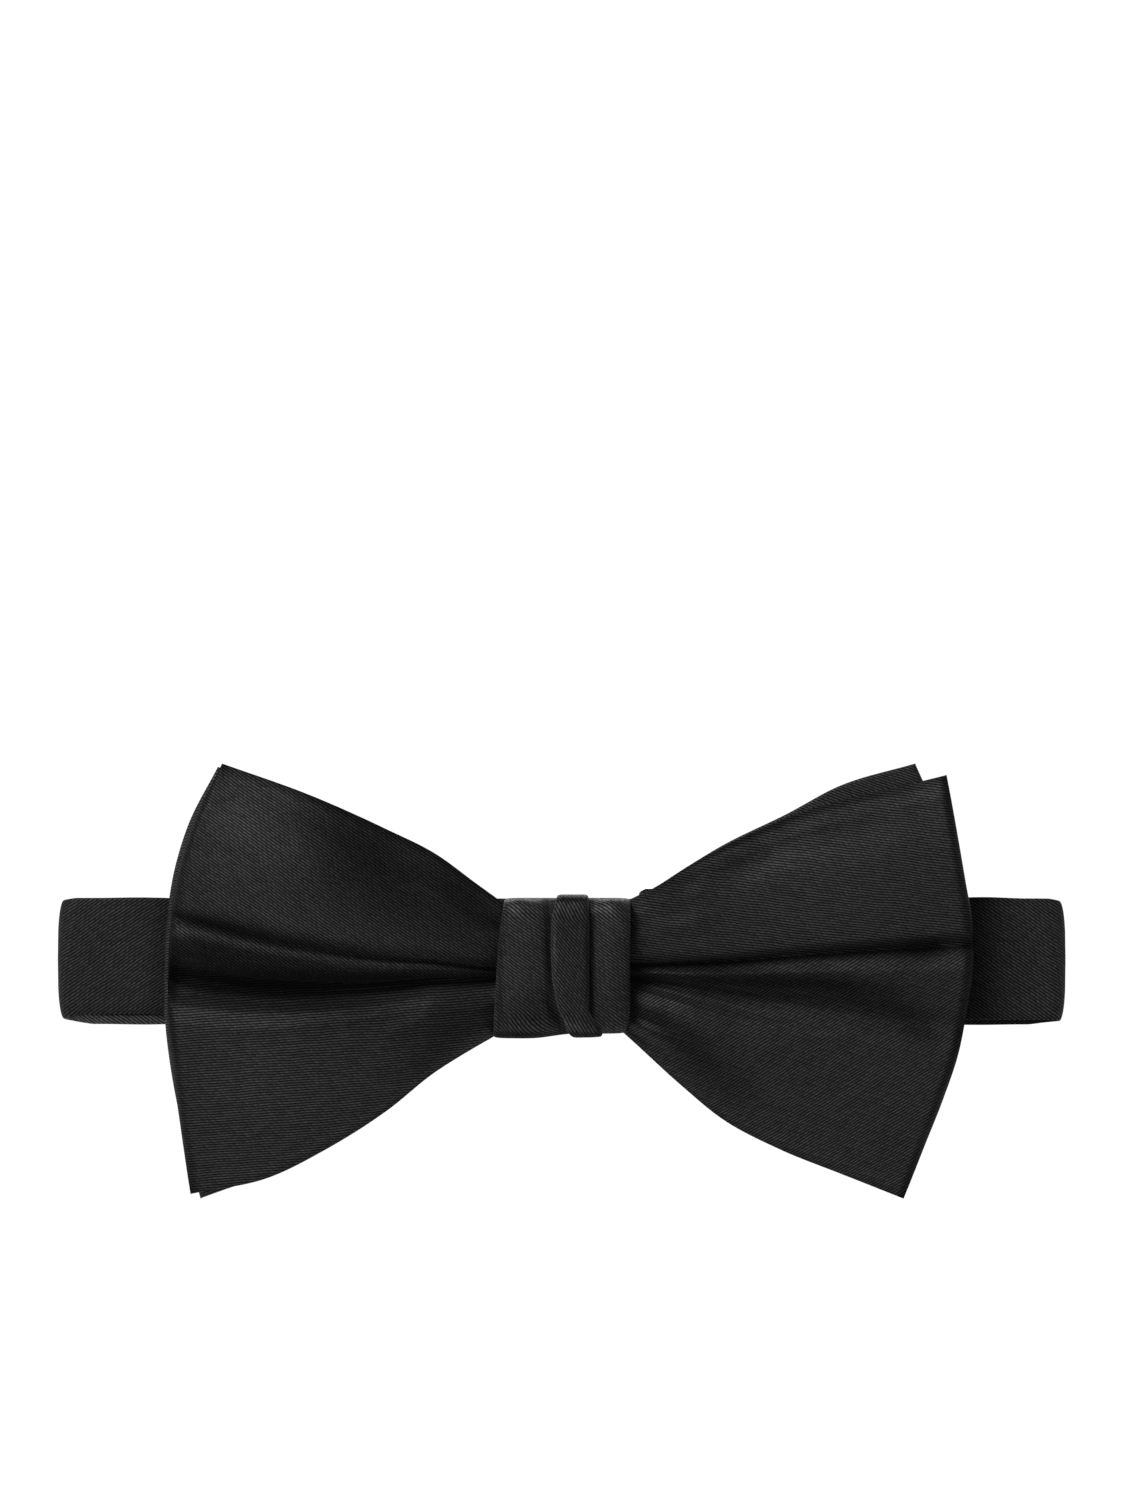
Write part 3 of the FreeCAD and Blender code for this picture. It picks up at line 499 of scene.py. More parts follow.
# %% [markdown]
# ## The knot
#
# The knot is one pleated strip of the same cloth, wrapped round the waist of the bows and sewn behind.
# Its middle is folded over itself, so the front shows a wide left panel, a raised fold with a curved
# left edge, and a narrow right panel. A bent plane would do, but it is simpler to sweep the strip round a
# path: a rounded rectangle seen from the side.

# %% Path round the waist
WAIST_FRONT, WAIST_BACK, WAIST_LOW, WAIST_HIGH = -9.2, 0.95, -9.5, 9.85
WAIST_MIDDLE = 0.2
FRONT_CORNER, BACK_CORNER = 2.6, 1.2


def waist_path(count):
    """The wrap's path round the waist, seen from the side: a rounded rectangle, starting at the back.
    Returns its points (y, z), outward normals and lengths."""
    centres = [
        (WAIST_BACK - BACK_CORNER, WAIST_LOW + BACK_CORNER, BACK_CORNER),
        (WAIST_FRONT + FRONT_CORNER, WAIST_LOW + FRONT_CORNER, FRONT_CORNER),
        (WAIST_FRONT + FRONT_CORNER, WAIST_HIGH - FRONT_CORNER, FRONT_CORNER),
        (WAIST_BACK - BACK_CORNER, WAIST_HIGH - BACK_CORNER, BACK_CORNER),
    ]
    points, normals = [], []
    for (cy, cz, r), first in zip(centres, (0, 90, 180, 270)):
        a = np.radians(np.linspace(-first, -first - 90, 24))
        outward = np.stack([np.cos(a), np.sin(a)], -1)
        points.append(np.array([cy, cz]) + r * outward)
        normals.append(outward)
    middle = np.array([[WAIST_BACK, WAIST_MIDDLE]])
    points = np.concatenate([middle, *points, middle])
    normals = np.concatenate([[[1, 0]], *normals, [[1, 0]]])
    length = np.concatenate([[0], np.cumsum(np.linalg.norm(np.diff(points, axis=0), axis=1))])
    at = np.linspace(0, length[-1], count)
    place = np.stack([np.interp(at, length, points[:, k]) for k in (0, 1)], -1)
    facing = np.stack([np.interp(at, length, normals[:, k]) for k in (0, 1)], -1)
    return place, facing / np.linalg.norm(facing, axis=1)[:, None], at


print("once round the waist, mm:", round(float(waist_path(100)[2][-1]), 1))

# %% [markdown]
# ## A loop of cloth with relief
#
# Each loop is given by its left and right edge at every height, and by its relief on the front. It is an
# envelope too: an outer and an inner layer whose edges are rounded together. At the bottom the cloth
# droops a little, because it is gathered there.

# %% A loop of cloth
def knot_ring(name, left, right, lift, weave, painted_patches, rise=0.0, droop=0.0, columns=120, around=360):
    """A loop of cloth round the waist. left and right give its edges by height, lift its relief."""
    detail = 1.0
    columns, around = int(columns * detail), int(around * detail)
    place, facing, length = waist_path(around)
    y, z = place[:, 0], place[:, 1]
    front = smooth(-facing[:, 0], 0.1, 0.8)[None]
    outside = smooth(-facing[:, 0], -0.9, -0.2)[None]
    share = np.linspace(-1, 1, columns)
    sheets = []
    for inner in (False, True):
        w = (share[::-1] if inner else share)[:, None]
        x = left(z)[None] * (1 - w) / 2 + right(z)[None] * (1 + w) / 2
        rim = np.sqrt(np.clip(1 - np.abs(w) ** 12, 0, 1))
        out = -0.45 * rim if inner else (0.35 + rise * outside + lift(x, z[None], w) * front) * rim
        out = out + 0 * x
        height = z + facing[:, 1] * out
        height = height - droop * smooth(-height, 6.0, 10.0) * smooth(2.0 - x, 0.0, 7.0)
        sheets.append(np.stack([x, y + facing[:, 0] * out, height], axis=-1))
    loop = np.concatenate(sheets, axis=0)
    loop = np.concatenate([loop, loop[:1]], axis=0)
    cloth = np.stack([loop[..., 0], np.broadcast_to(length, loop.shape[:2])], axis=-1)
    x, z = loop[..., 0], loop[..., 2]
    # painted light and shade from the patches on the front, and painted shade along the knot's top and bottom
    # edges
    painted_shading = soft_spots(x, z, painted_patches) * smooth(-loop[..., 1], 3.0, 6.0)
    painted_shading = np.exp(painted_shading - 1.2 * smooth(np.abs(z - 0.2), 9.3, 10.2))
    return grid_mesh(name, loop[:, :-1], rotated(cloth, weave)[:, :-1], painted_light=painted_shading[:, :-1])


print("a loop has", 2 * 120 * 360, "points at full detail")

# %% [markdown]
# ## The wrap and its fold
#
# The wrap's panels are softly rounded and dip towards the fold in the middle. The fold is a second loop
# over the first, raised by its own thickness, with a left edge that curves in like the leaf of a book.
# Both are the same piece of cloth, so they are joined into one mesh. Dark narrow patches are painted shade
# beside the fold and along the wrap's edges, light ones painted highlights on the fold's lit lip and on the
# tops of the panels, and broad dark ones painted shade on the lower panels and over the fold.

# %% Relief and patches of the knot


def panel_relief(x, z, w):
    """Relief of the wrap: soft panels that dip towards the fold over the middle."""
    left = 0.60 * bump(x, -6.2, 3.2)
    right = 0.60 * bump(x, 7.3, 2.0)
    dip = -0.55 * bump(x, 1.2, 3.6)
    crease = -0.35 * bump(x, -9.1, 0.7) - 0.35 * bump(x, 9.8, 0.5)
    return left + right + dip + crease + 0.12 * np.sin(z * 0.5 + x * 0.3)


WRAP_PAINTED_LIGHT = [
    (-5.2, 6.8, 3.6, 2.6, 0, 0.25), (-6.0, 0.5, 5.0, 4.0, 60, 0.15), (-5.5, -6.5, 5.0, 2.5, 0, -0.25),
    (7.0, 7.0, 2.6, 2.4, 0, 0.32), (6.8, -6.0, 4.0, 2.5, 0, -0.10), (-2.2, 2.5, 8.5, 0.55, 92, -1.1),
    (-1.0, -7.5, 3.0, 0.6, 118, -1.1), (4.3, 0.5, 10.5, 0.40, 90, -1.3), (9.8, 0.0, 9.0, 0.35, 90, -0.6),
    (-9.2, 0.0, 9.0, 0.45, 90, -0.4),
]
FOLD_PAINTED_LIGHT = [
    (-1.2, 3.5, 7.5, 0.30, 91, 0.55), (1.3, 6.0, 5.0, 2.2, 90, -0.20), (1.5, -3.0, 5.0, 2.2, 90, -0.12),
    (3.6, 0.5, 9.0, 0.45, 90, -0.50), (1.8, -8.6, 2.6, 0.5, 150, 0.45),
]
print("patches:", len(WRAP_PAINTED_LIGHT), "on the wrap,", len(FOLD_PAINTED_LIGHT), "on the fold")

# %% Build the knot
wrap = knot_ring(
    "knot_wrap_cloth",
    lambda z: -9.2 - 0.055 * (10 - z) + 0.5 * bump(z, 10.0, 4.0),
    lambda z: 10.1 - 0.1 * bump(z, 0.0, 6.0) - 0.8 * bump(z, -10.5, 2.5),
    panel_relief,
    -36,
    WRAP_PAINTED_LIGHT,
    droop=0.7,
)


def fold_left(z):
    """The curved left edge of the fold over the middle."""
    points = [(-10.4, 2.4), (-8.8, 0.8), (-6.0, -0.7), (-1.8, -1.5), (3.4, -1.8), (7.6, -1.6), (10.6, -0.7)]
    heights, places = np.array(points).T
    return np.interp(z, heights, places)


fold = knot_ring(
    "knot_fold",
    fold_left,
    lambda z: 3.95 + 2.6 * smooth(-z, 6.0, 11.0),
    lambda x, z, w: 0.55 + 0.30 * bump(w, -0.6, 0.5) + 0.25 * bump(w, 0.2, 0.5),
    -50,
    FOLD_PAINTED_LIGHT,
    rise=0.5,
    droop=1.6,
    columns=60,
)
both = bmesh.new()
for piece in (wrap, fold):
    both.from_mesh(piece.data)
both.to_mesh(wrap.data)
both.free()
bpy.data.objects.remove(fold)
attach(wrap, "bow")
print(wrap.name, len(wrap.data.vertices), "points")

# %% [markdown]
# ## The neckband
#
# The neckband is a flattened tube of bolder twill, folded flat twice on each side. Each stretch of it is
# swept along a path seen from above, so the cloth goes round its folds without a break. A box with a
# Bevel modifier would be quicker, but could not go round a fold. The cross-section is a flattened ring
# whose upper and lower edges waver a little, as pressed cloth does. Painted shade darkens the band where
# the wings shade it and along its edges. On the layer that shows below the folded strap, a painted shadow
# line runs under the strap's edge on the left, with painted light on the strip below it, and painted shade
# covers the strip on the right.

# %% A sweep of flat tube
TUBE_HEIGHT, TUBE_THICKNESS = 17.8, 1.2
STEP, DRAFT_STEP = 0.45, 1.2
BAND_WEAVE = -34


def along_run(value, at):
    """A size along the sweep: the same all along, or read from (place, size) pairs."""
    if np.isscalar(value):
        return np.broadcast_to(value, at.shape)
    return np.interp(at, *np.array(value).T)


def band_painted_light(points, across):
    """Painted shade beside the wings, on the lower layer and along the edges, and painted light on the lower
    layer's strip on the left.
    """
    x, y, z = points[..., 0], points[..., 1], points[..., 2]
    # painted shadow of the wings on the front of the band beside them
    shade = bump(x, 60.5, 4.5) + 0.35 * bump(x, -59.5, 2.0)
    shade = 0.85 * shade * smooth(-y, -1.0, 0.5)
    behind = smooth(y, 0.8, 1.8) * smooth(-z, 6.6, 7.1)
    # lower layer: on the left a painted shadow line under the upper layer's edge and painted light on the
    # strip below, on the right painted shade
    painted_strip_shading = 1.2 * bump(z, -7.2, 0.25) - 1.25 * smooth(-z, 7.4, 7.7)
    shade = shade + behind * np.where(x < 0, painted_strip_shading, 0.8)
    # painted shade along the band's upper and lower edges
    return np.exp(-shade - 0.6 * np.abs(across) ** 20)


def strap(name, path, heights, width=TUBE_HEIGHT, thick=TUBE_THICKNESS, wave=0.0, seed=1, start=0.0):
    """A flattened tube of cloth swept along a path of (x, y) points; heights is its centre line."""
    p = np.asarray(path, float)
    step = np.linalg.norm(np.diff(p, axis=0), axis=1)
    run = np.concatenate([[0], np.cumsum(step)])
    count = int(run[-1] / STEP) + 2
    at = np.linspace(0, run[-1], count)
    x, y = np.interp(at, run, p[:, 0]), np.interp(at, run, p[:, 1])
    along = np.gradient(np.stack([x, y], -1), axis=0)
    along /= np.linalg.norm(along, axis=1)[:, None]
    side = np.stack([-along[:, 1], along[:, 0]], -1)
    phi = np.linspace(0, 2 * np.pi, 64, endpoint=False)
    c, s = np.cos(phi), np.sin(phi)
    across = np.sign(s) * np.abs(s) ** 0.30
    depth = np.sign(c) * np.abs(c) ** 0.55
    waver = wave * soft_noise((count, 2), (max(int(run[-1] / 7), 2), 1), seed)
    top, bottom = waver[:, :1], waver[:, 1:]
    z = along_run(heights, at)[:, None] + across * along_run(width, at)[:, None] / 2
    z = z + np.where(across > 0, top, bottom) * np.abs(across) ** 3
    offset = depth * along_run(thick, at)[:, None] / 2
    points = np.stack([x[:, None] + side[:, :1] * offset, y[:, None] + side[:, 1:] * offset, z], axis=-1)
    tuck = 0.5 * np.abs(across) ** 3 * smooth(np.abs(points[..., 0]), 71.0, 75.0)
    points[..., 0] -= np.sign(points[..., 0]) * tuck
    cloth = np.stack([np.broadcast_to(at[:, None] + start, points.shape[:2]), points[..., 2]], -1)
    painted_light = band_painted_light(points, across)
    return grid_mesh(name, points, rotated(cloth, BAND_WEAVE), cap="plug", painted_light=painted_light), run[-1]


def bend(centre, radius, start, stop, count=16):
    """Points round a fold, by angle in degrees."""
    a = np.radians(np.linspace(start, stop, count))
    return [(centre[0] + radius * np.cos(v), centre[1] + radius * np.sin(v)) for v in a]


print("a fold's points:", np.round(bend((0, 0), 1, -90, 90, 3), 1).tolist())

# %% [markdown]
# ## The front run and the first folds
#
# The front run passes through the knot, shows beyond each wing, and turns back round the first fold. It is
# laid slightly higher than the runs behind it, so a little of the lower layer shows under it. It starts
# and ends inside the fold.

# %% Front run and first folds
INNER_DEPTH, OUTER_DEPTH, RETURN_DEPTH = 3.6, 7.0, 10.2
FRONT_DEPTH = -0.6
FOLDED_HEIGHT = 0.3
JOIN = 46.0  # where the front sweep hands over to the one behind
OVERLAP = 0.2
FIRST_FOLDS = {
    # x of the fold, centre height and width of the front run, height of the lower layer, seed, sweep angle
    "left": (-72.95, 1.45, 17.4, 0.0, 3, -270),
    "right": (72.7, 1.05, 18.2, 0.0, 8, 90),
}
runs = {}
for side, (turn_x, centre, width, lower, seed, last) in FIRST_FOLDS.items():
    turn = bend((turn_x, 1.5), 2.1, -90, last)
    path = [(0.0, FRONT_DEPTH), (turn_x, FRONT_DEPTH), *turn, (np.sign(turn_x) * JOIN, INNER_DEPTH)]
    drop = [(0, centre), (73, centre), (82, lower), (96, lower), (110, FOLDED_HEIGHT)]
    widths = [(0, width), (73, width), (80, TUBE_HEIGHT), (110, TUBE_HEIGHT)]
    piece, length = strap(f"neckband_{side}", path, drop, width=widths, wave=0.25, seed=seed)
    runs[piece.name] = length
    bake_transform(piece)
print("front sweeps, mm:", {name: round(float(length), 1) for name, length in runs.items()})

# %% [markdown]
# ## The runs behind
#
# Behind, each side has an inner run, a second fold and an outer run. The left outer run ends in a hem
# round the eye. The right one becomes a sliding stretch that turns round the hook's bar and comes back,
# thinner and narrower, to a hem round the slider's bar. Each sweep starts where the last one ended, and
# "start" carries the cloth coordinate on, so that the weave runs through the joins.

# %% Runs behind
SECOND_FOLD = ((0, 0.0042, 0), (0, 0.0064, 0))
left_back = [(-JOIN - OVERLAP, INNER_DEPTH), (-19.0, INNER_DEPTH), *bend((-19.0, 5.3), 1.7, -90, 90)]
left_back += [(-JOIN, OUTER_DEPTH), *bend((-JOIN, 8.6), 1.6, -90, -270), (-39.0, RETURN_DEPTH)]
right_back = [(JOIN + OVERLAP, INNER_DEPTH), (-11.0, INNER_DEPTH), *bend((-11.0, 5.3), 1.7, -90, -270)]
right_back += [(24.0, OUTER_DEPTH)]
stretch = [(24.0 + OVERLAP, OUTER_DEPTH), (JOIN, OUTER_DEPTH), *bend((JOIN, 8.6), 1.6, -90, 90)]
stretch += [(44.0, RETURN_DEPTH)]
back_run = [(44.0 + OVERLAP, RETURN_DEPTH), (21.0, RETURN_DEPTH), (18.8, 9.7), (16.4, 9.7)]
back_run += [*bend((16.4, 8.9), 0.8, 90, 270), (20.6, 8.1)]
END_WIDTH, END_THICKNESS = 15.6, 0.4
TAPER = {
    "thick": [(0, TUBE_THICKNESS), (22.5, TUBE_THICKNESS), (25.0, END_THICKNESS), (60, END_THICKNESS)],
    "width": [(0, TUBE_HEIGHT), (21.0, TUBE_HEIGHT), (24.5, END_WIDTH), (60, END_WIDTH)],
}
STRETCH_BEND, RETURN_BEND = ((0.0255, 0, 0), (0.0438, 0, 0)), ((0.0435, 0, 0), (0.0215, 0, 0))
SWEEPS = {
    # path, start, seed, waver of the edges, sizes along it, the two bodies, where it bends
    "left_back": (left_back, 105.8, 11, 0.15, {}, "left_inner", "left_outer", *SECOND_FOLD),
    "right_back": (right_back, 105.8, 12, 0.15, {}, "right_inner", "right_outer", *SECOND_FOLD),
    "right_stretch": (stretch, 203.1, 13, 0.1, {}, "right_outer", "right_turn", *STRETCH_BEND),
    "right_return": (back_run, 231.7, 14, 0.1, TAPER, "right_turn", "slider", *RETURN_BEND),
}
for name, (path, start, seed, wave, sizes, *joint) in SWEEPS.items():
    piece, length = strap(f"neckband_{name}", path, FOLDED_HEIGHT, wave=wave, seed=seed, start=start, **sizes)
    runs[piece.name] = length
    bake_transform(piece)
print("cloth lengths, mm:", {name: round(float(length), 1) for name, length in runs.items()})

# %% [markdown]
# ## Shader nodes by hand
#
# Materials in Blender are graphs of nodes, and a small class adds a node and its links in one line. An
# effect that several materials use is a node group: a graph with named inputs and outputs, built once
# and placed with other values in each material.

# %% Node helpers
def group(name, inputs, outputs):
    """A shader node group with named sockets: (name, kind, default) for each."""
    tree = bpy.data.node_groups.new(name, "ShaderNodeTree")
    for label, kind, default in inputs:
        socket = tree.interface.new_socket(label, in_out="INPUT", socket_type=f"NodeSocket{kind}")
        if default is not None:
            socket.default_value = default
    for label, kind in outputs:
        tree.interface.new_socket(label, in_out="OUTPUT", socket_type=f"NodeSocket{kind}")
    return tree, tree.nodes.new("NodeGroupInput"), tree.nodes.new("NodeGroupOutput")


class Graph:
    """Small helper that adds and links shader nodes."""

    def __init__(self, tree):
        self.tree = tree

    def node(self, kind, settings=None, **inputs):
        made = self.tree.nodes.new(kind)
        for key, value in (settings or {}).items():
            setattr(made, key, value)
        for key, value in inputs.items():
            self.put(made, key, value)
        return made

    def put(self, node, key, value):
        socket = node.inputs[int(key[1:])] if key[:1] == "i" and key[1:].isdigit() else node.inputs[key]
        if isinstance(value, bpy.types.NodeSocket):
            self.tree.links.new(value, socket)
        else:
            socket.default_value = value

    def math(self, operation, a, b=0.0, c=0.0, clamp=False):
        made = self.node("ShaderNodeMath", {"operation": operation, "use_clamp": clamp}, i0=a, i1=b, i2=c)
        return made.outputs[0]

    def mix(self, factor, a, b):
        made = self.node("ShaderNodeMix", {"data_type": "RGBA"})
        for number, value in ((0, factor), (6, a), (7, b)):
            self.put(made, f"i{number}", value)
        return made.outputs[2]

    def ramp(self, value, low, high, out_low=0.0, out_high=1.0):
        made = self.node("ShaderNodeMapRange", {"interpolation_type": "SMOOTHSTEP"})
        for number, item in enumerate((value, low, high, out_low, out_high)):
            self.put(made, f"i{number}", item)
        return made.outputs[0]


print("sockets of a group are named when it is made")

# %% [markdown]
# ## Satin twill
#
# Satin twill looks black with a soft grey sheen. Up close it is a field of tiny diagonal floats, each
# catching the light. The weave group turns cloth coordinates into that pattern. One sine makes the ribs,
# and a second one along them makes each float swell and sink like a bead. A random number for each float
# and each rib makes no two threads look the same. A slow wobble bends the ribs and a fine grain breaks
# them up. An image of cloth would be quicker, but it would repeat and could not be made coarser.

# %% Weave group
TURN = 6.28318
FLOAT_LENGTH = 0.42  # floats for each pitch along a rib
RIB_SHIFT = 0.37  # how far each rib's floats lie behind the last one's


def make_weave_group():
    """Twill weave: diagonal ribs of floats, each float its own brightness."""
    tree, inside, outside = group(
        "twill weave",
        [("Cloth", "Vector", None), ("Pitch", "Float", 0.00042), ("Variation", "Float", 0.5)],
        [("Float", "Float"), ("Height", "Float"), ("Thread", "Float")],
    )
    g = Graph(tree)
    cloth, pitch = inside.outputs["Cloth"], inside.outputs["Pitch"]
    wobble = g.node("ShaderNodeTexNoise", {"noise_dimensions": "3D"}, Vector=cloth, Scale=160.0)
    wobble.inputs["Detail"].default_value = 1.0
    place = g.node("ShaderNodeSeparateXYZ", Vector=cloth)
    drift = g.math("MULTIPLY", g.math("SUBTRACT", wobble.outputs["Fac"], 0.5), 0.0005)
    across = g.math("DIVIDE", g.math("ADD", place.outputs[1], drift), pitch)
    length = g.math("DIVIDE", place.outputs[0], pitch)
    rib = g.math("SINE", g.math("MULTIPLY", across, TURN))
    row = g.math("FLOOR", g.math("ADD", across, 0.25))
    along = g.math("ADD", g.math("MULTIPLY", length, FLOAT_LENGTH), g.math("MULTIPLY", row, RIB_SHIFT))
    swell = g.math("SINE", g.math("MULTIPLY", along, TURN))
    cell = g.node("ShaderNodeCombineXYZ", X=g.math("FLOOR", along), Y=row)
    each_float = g.node("ShaderNodeTexWhiteNoise", {"noise_dimensions": "2D"}, Vector=cell.outputs[0])
    each_rib = g.node("ShaderNodeTexWhiteNoise", {"noise_dimensions": "1D"}, W=row)
    share = g.math("MULTIPLY", each_rib.outputs[0], 0.15)
    thread = g.math("ADD", g.math("MULTIPLY", each_float.outputs[0], 0.85), share)
    grain = g.node("ShaderNodeTexNoise", Vector=cloth, Scale=2600.0)
    speckle = g.math("MULTIPLY", g.math("SUBTRACT", grain.outputs["Fac"], 0.5), 0.7)
    ridge = g.math("ADD", g.math("MULTIPLY_ADD", rib, 0.44, 0.52), speckle, clamp=True)
    height = g.math("MULTIPLY", ridge, g.math("MULTIPLY_ADD", swell, 0.12, 0.88))
    centred = g.math("MULTIPLY", g.math("SUBTRACT", thread, 0.5), inside.outputs["Variation"])
    vary = g.math("ADD", 1.0, g.math("MULTIPLY", centred, 2.0))
    lit = g.math("MULTIPLY", g.math("POWER", height, 1.3), vary, clamp=True)
    for label, value in (("Float", lit), ("Height", height), ("Thread", thread)):
        tree.links.new(value, outside.inputs[label])
    return tree


WEAVE = make_weave_group()
print(WEAVE.name, "has", len(WEAVE.nodes), "nodes")

# %% [markdown]
# ## Slow shading
#
# Handled cloth and sprayed enamel are both slightly uneven over a few centimetres or millimetres. One
# small group gives that to all of them: soft noise in object coordinates, with its scale as an input.

# %% Cloud group
def make_cloud_group():
    """Slow, uneven shading over a surface, from object coordinates."""
    tree, inside, outside = group("slow cloud", [("Scale", "Float", 40.0)], [("Cloud", "Float")])
    g = Graph(tree)
    where = g.node("ShaderNodeTexCoord")
    noise = g.node("ShaderNodeTexNoise", Vector=where.outputs["Object"], Scale=inside.outputs["Scale"])
    noise.inputs["Detail"].default_value = 4.0
    tree.links.new(noise.outputs["Fac"], outside.inputs["Cloud"])
    return tree


CLOUD = make_cloud_group()
print(CLOUD.name, "has", len(CLOUD.nodes), "nodes")

# %% [markdown]
# ## The satin material
#
# The base colour goes from the dark between the floats to the grey of their tops. The pattern is the
# weave's own, and its contrast is painted shade in the gaps and a painted highlight on the tops. Satin's
# shine comes and goes with the floats, so it is a coat whose weight follows them and the painted light
# and shade: a coat's weight may change over a surface, and it is kept when the model is exported. The
# shader's own specular level is nothing. A faint sheen stands for the fibres' fuzz, and the bump rounds
# each float.

# %% Satin
COAT = 0.76
SATIN_SHEEN = {
    "Coat Roughness": 0.54,
    "Specular IOR Level": 0.0,
    "Sheen Weight": 0.05,
    "Sheen Roughness": 0.45,
    "Sheen Tint": (0.9, 0.9, 0.9, 1),
}


def start_material(name):
    """An empty material with one Principled shader."""
    material = bpy.data.materials.new(name)
    material.use_nodes = True
    g = Graph(material.node_tree)
    shader = material.node_tree.nodes["Principled BSDF"]
    return material, g, shader


def use_group(g, tree, **inputs):
    """A group node with its inputs set."""
    made = g.node("ShaderNodeGroup", {"node_tree": tree})
    for key, value in inputs.items():
        g.put(made, key, value)
    return made


def satin(name, light, pitch, relief):
    """Black satin twill. light is the float tops' colour, with a painted highlight in it; pitch and relief
    are in metres.
    """
    material, g, shader = start_material(name)
    where = g.node("ShaderNodeUVMap", {"uv_map": "cloth"}).outputs[0]
    weave = use_group(g, WEAVE, Cloth=where, Pitch=pitch, Variation=0.24)
    cloud = use_group(g, CLOUD, Scale=38.0)
    # the weave's own pattern, with painted shade in the gaps and a painted highlight on the float tops
    base = g.mix(weave.outputs["Float"], (*DARK, 1), (*light, 1))
    # painted light and shade of each point, which scales the colour along with the cloud's random tone
    painted_light = g.node("ShaderNodeAttribute", {"attribute_name": "painted_light"}).outputs["Fac"]
    shade = g.math("MULTIPLY", g.ramp(cloud.outputs[0], 0.3, 0.7, 0.88, 1.10), painted_light)
    vary = g.node("ShaderNodeVectorMath", {"operation": "SCALE"}, i0=base)
    g.put(vary, "Scale", shade)
    g.put(shader, "Base Color", vary.outputs[0])
    g.put(shader, "Roughness", g.ramp(weave.outputs["Thread"], 0.0, 1.0, 0.62, 0.46))
    # the coat follows the floats and is scaled by the painted light and shade
    gloss = g.math("MULTIPLY", weave.outputs["Float"], COAT)
    g.put(shader, "Coat Weight", g.math("MULTIPLY", gloss, painted_light))
    for key, value in SATIN_SHEEN.items():
        g.put(shader, key, value)
    raised = g.node("ShaderNodeBump", Strength=0.55, Distance=relief, Height=weave.outputs["Height"])
    g.put(shader, "Normal", raised.outputs[0])
    return material


# DARK, between the floats, includes painted shade; LIGHT and BAND_LIGHT, on the float tops, include a painted
# highlight
DARK = (0.0028, 0.0028, 0.0029)
LIGHT, BAND_LIGHT = (0.0255, 0.0255, 0.0258), (0.026, 0.026, 0.0262)
front_satin = satin("satin twill, bows", LIGHT, 0.00038, 0.00008)
knot_satin = satin("satin twill, knot", LIGHT, 0.00038, 0.00008)
band_satin = satin("satin twill, neckband", BAND_LIGHT, 0.00041, 0.00010)
print("ribs in a centimetre of the bows:", round(0.01 / 0.00038))

# %% [markdown]
# ## Canvas, thread and enamel
#
# Interlining is a plain matt canvas: the weave group with a coarser pitch and no shine. Sewing thread
# shows its twist as fine bands. The metal is black enamel, slightly uneven like orange peel and rubbed
# bright along its edges. A Bevel node finds those: it gives the normal of a rounded edge, and where that
# differs from the flat face's normal, an edge is near.

# %% Canvas, thread and enamel
BEVEL = 0.00022


def canvas():
    """Interlining: a plain, matt, loosely woven canvas."""
    material, g, shader = start_material("interlining canvas")
    where = g.node("ShaderNodeTexCoord").outputs["Object"]
    weave = use_group(g, WEAVE, Cloth=where, Pitch=0.0006, Variation=0.5)
    colour = g.mix(weave.outputs["Float"], (0.03, 0.03, 0.03, 1), (0.09, 0.09, 0.085, 1))
    g.put(shader, "Base Color", colour)
    g.put(shader, "Roughness", 0.95)
    return material


def thread_material():
    """Twisted black sewing thread."""
    material, g, shader = start_material("black sewing thread")
    where = g.node("ShaderNodeTexCoord").outputs["Object"]
    twist = g.node("ShaderNodeTexWave", {"wave_type": "BANDS"}, Vector=where, Scale=900.0)
    colour = g.mix(twist.outputs["Fac"], (0.006, 0.006, 0.007, 1), (0.035, 0.035, 0.037, 1))
    g.put(shader, "Base Color", colour)
    g.put(shader, "Roughness", 0.55)
    return material


def enamel():
    """Black enamelled metal, slightly orange-peeled, with bright wear where edges rub."""
    material, g, shader = start_material("black enamelled metal")
    cloud = use_group(g, CLOUD, Scale=900.0)
    wear = use_group(g, CLOUD, Scale=420.0)
    round_normal = g.node("ShaderNodeBevel", {"samples": 6}, Radius=BEVEL).outputs[0]
    flat_normal = g.node("ShaderNodeNewGeometry").outputs["True Normal"]
    same = g.node("ShaderNodeVectorMath", {"operation": "DOT_PRODUCT"}, i0=round_normal, i1=flat_normal)
    edge = g.ramp(same.outputs[1], 0.97, 0.80)
    rubbed = g.math("MULTIPLY", edge, g.ramp(wear.outputs[0], 0.46, 0.60), clamp=True)
    g.put(shader, "Base Color", g.mix(rubbed, (0.014, 0.014, 0.015, 1), (0.30, 0.29, 0.27, 1)))
    g.put(shader, "Metallic", rubbed)
    g.put(shader, "Roughness", g.ramp(cloud.outputs[0], 0.3, 0.7, 0.24, 0.38))
    raised = g.node("ShaderNodeBump", Strength=0.12, Distance=0.0001, Normal=round_normal)
    g.put(raised, "Height", cloud.outputs[0])
    g.put(shader, "Normal", raised.outputs[0])
    return material


lining, sewing, metal = canvas(), thread_material(), enamel()
print("materials:", [material.name for material in (front_satin, lining, sewing, metal)])

# %% [markdown]
# ## Dress every piece
#
# Each piece gets one material in one slot. The hook, the eye, the slider, the stitches and the
# interlinings keep their CAD shape and take a finish by the slot that the record gives them.

# %% Dress the cloth


def dress(piece, material):
    """Give a piece its only material."""
    piece.data.materials.clear()
    piece.data.materials.append(material)


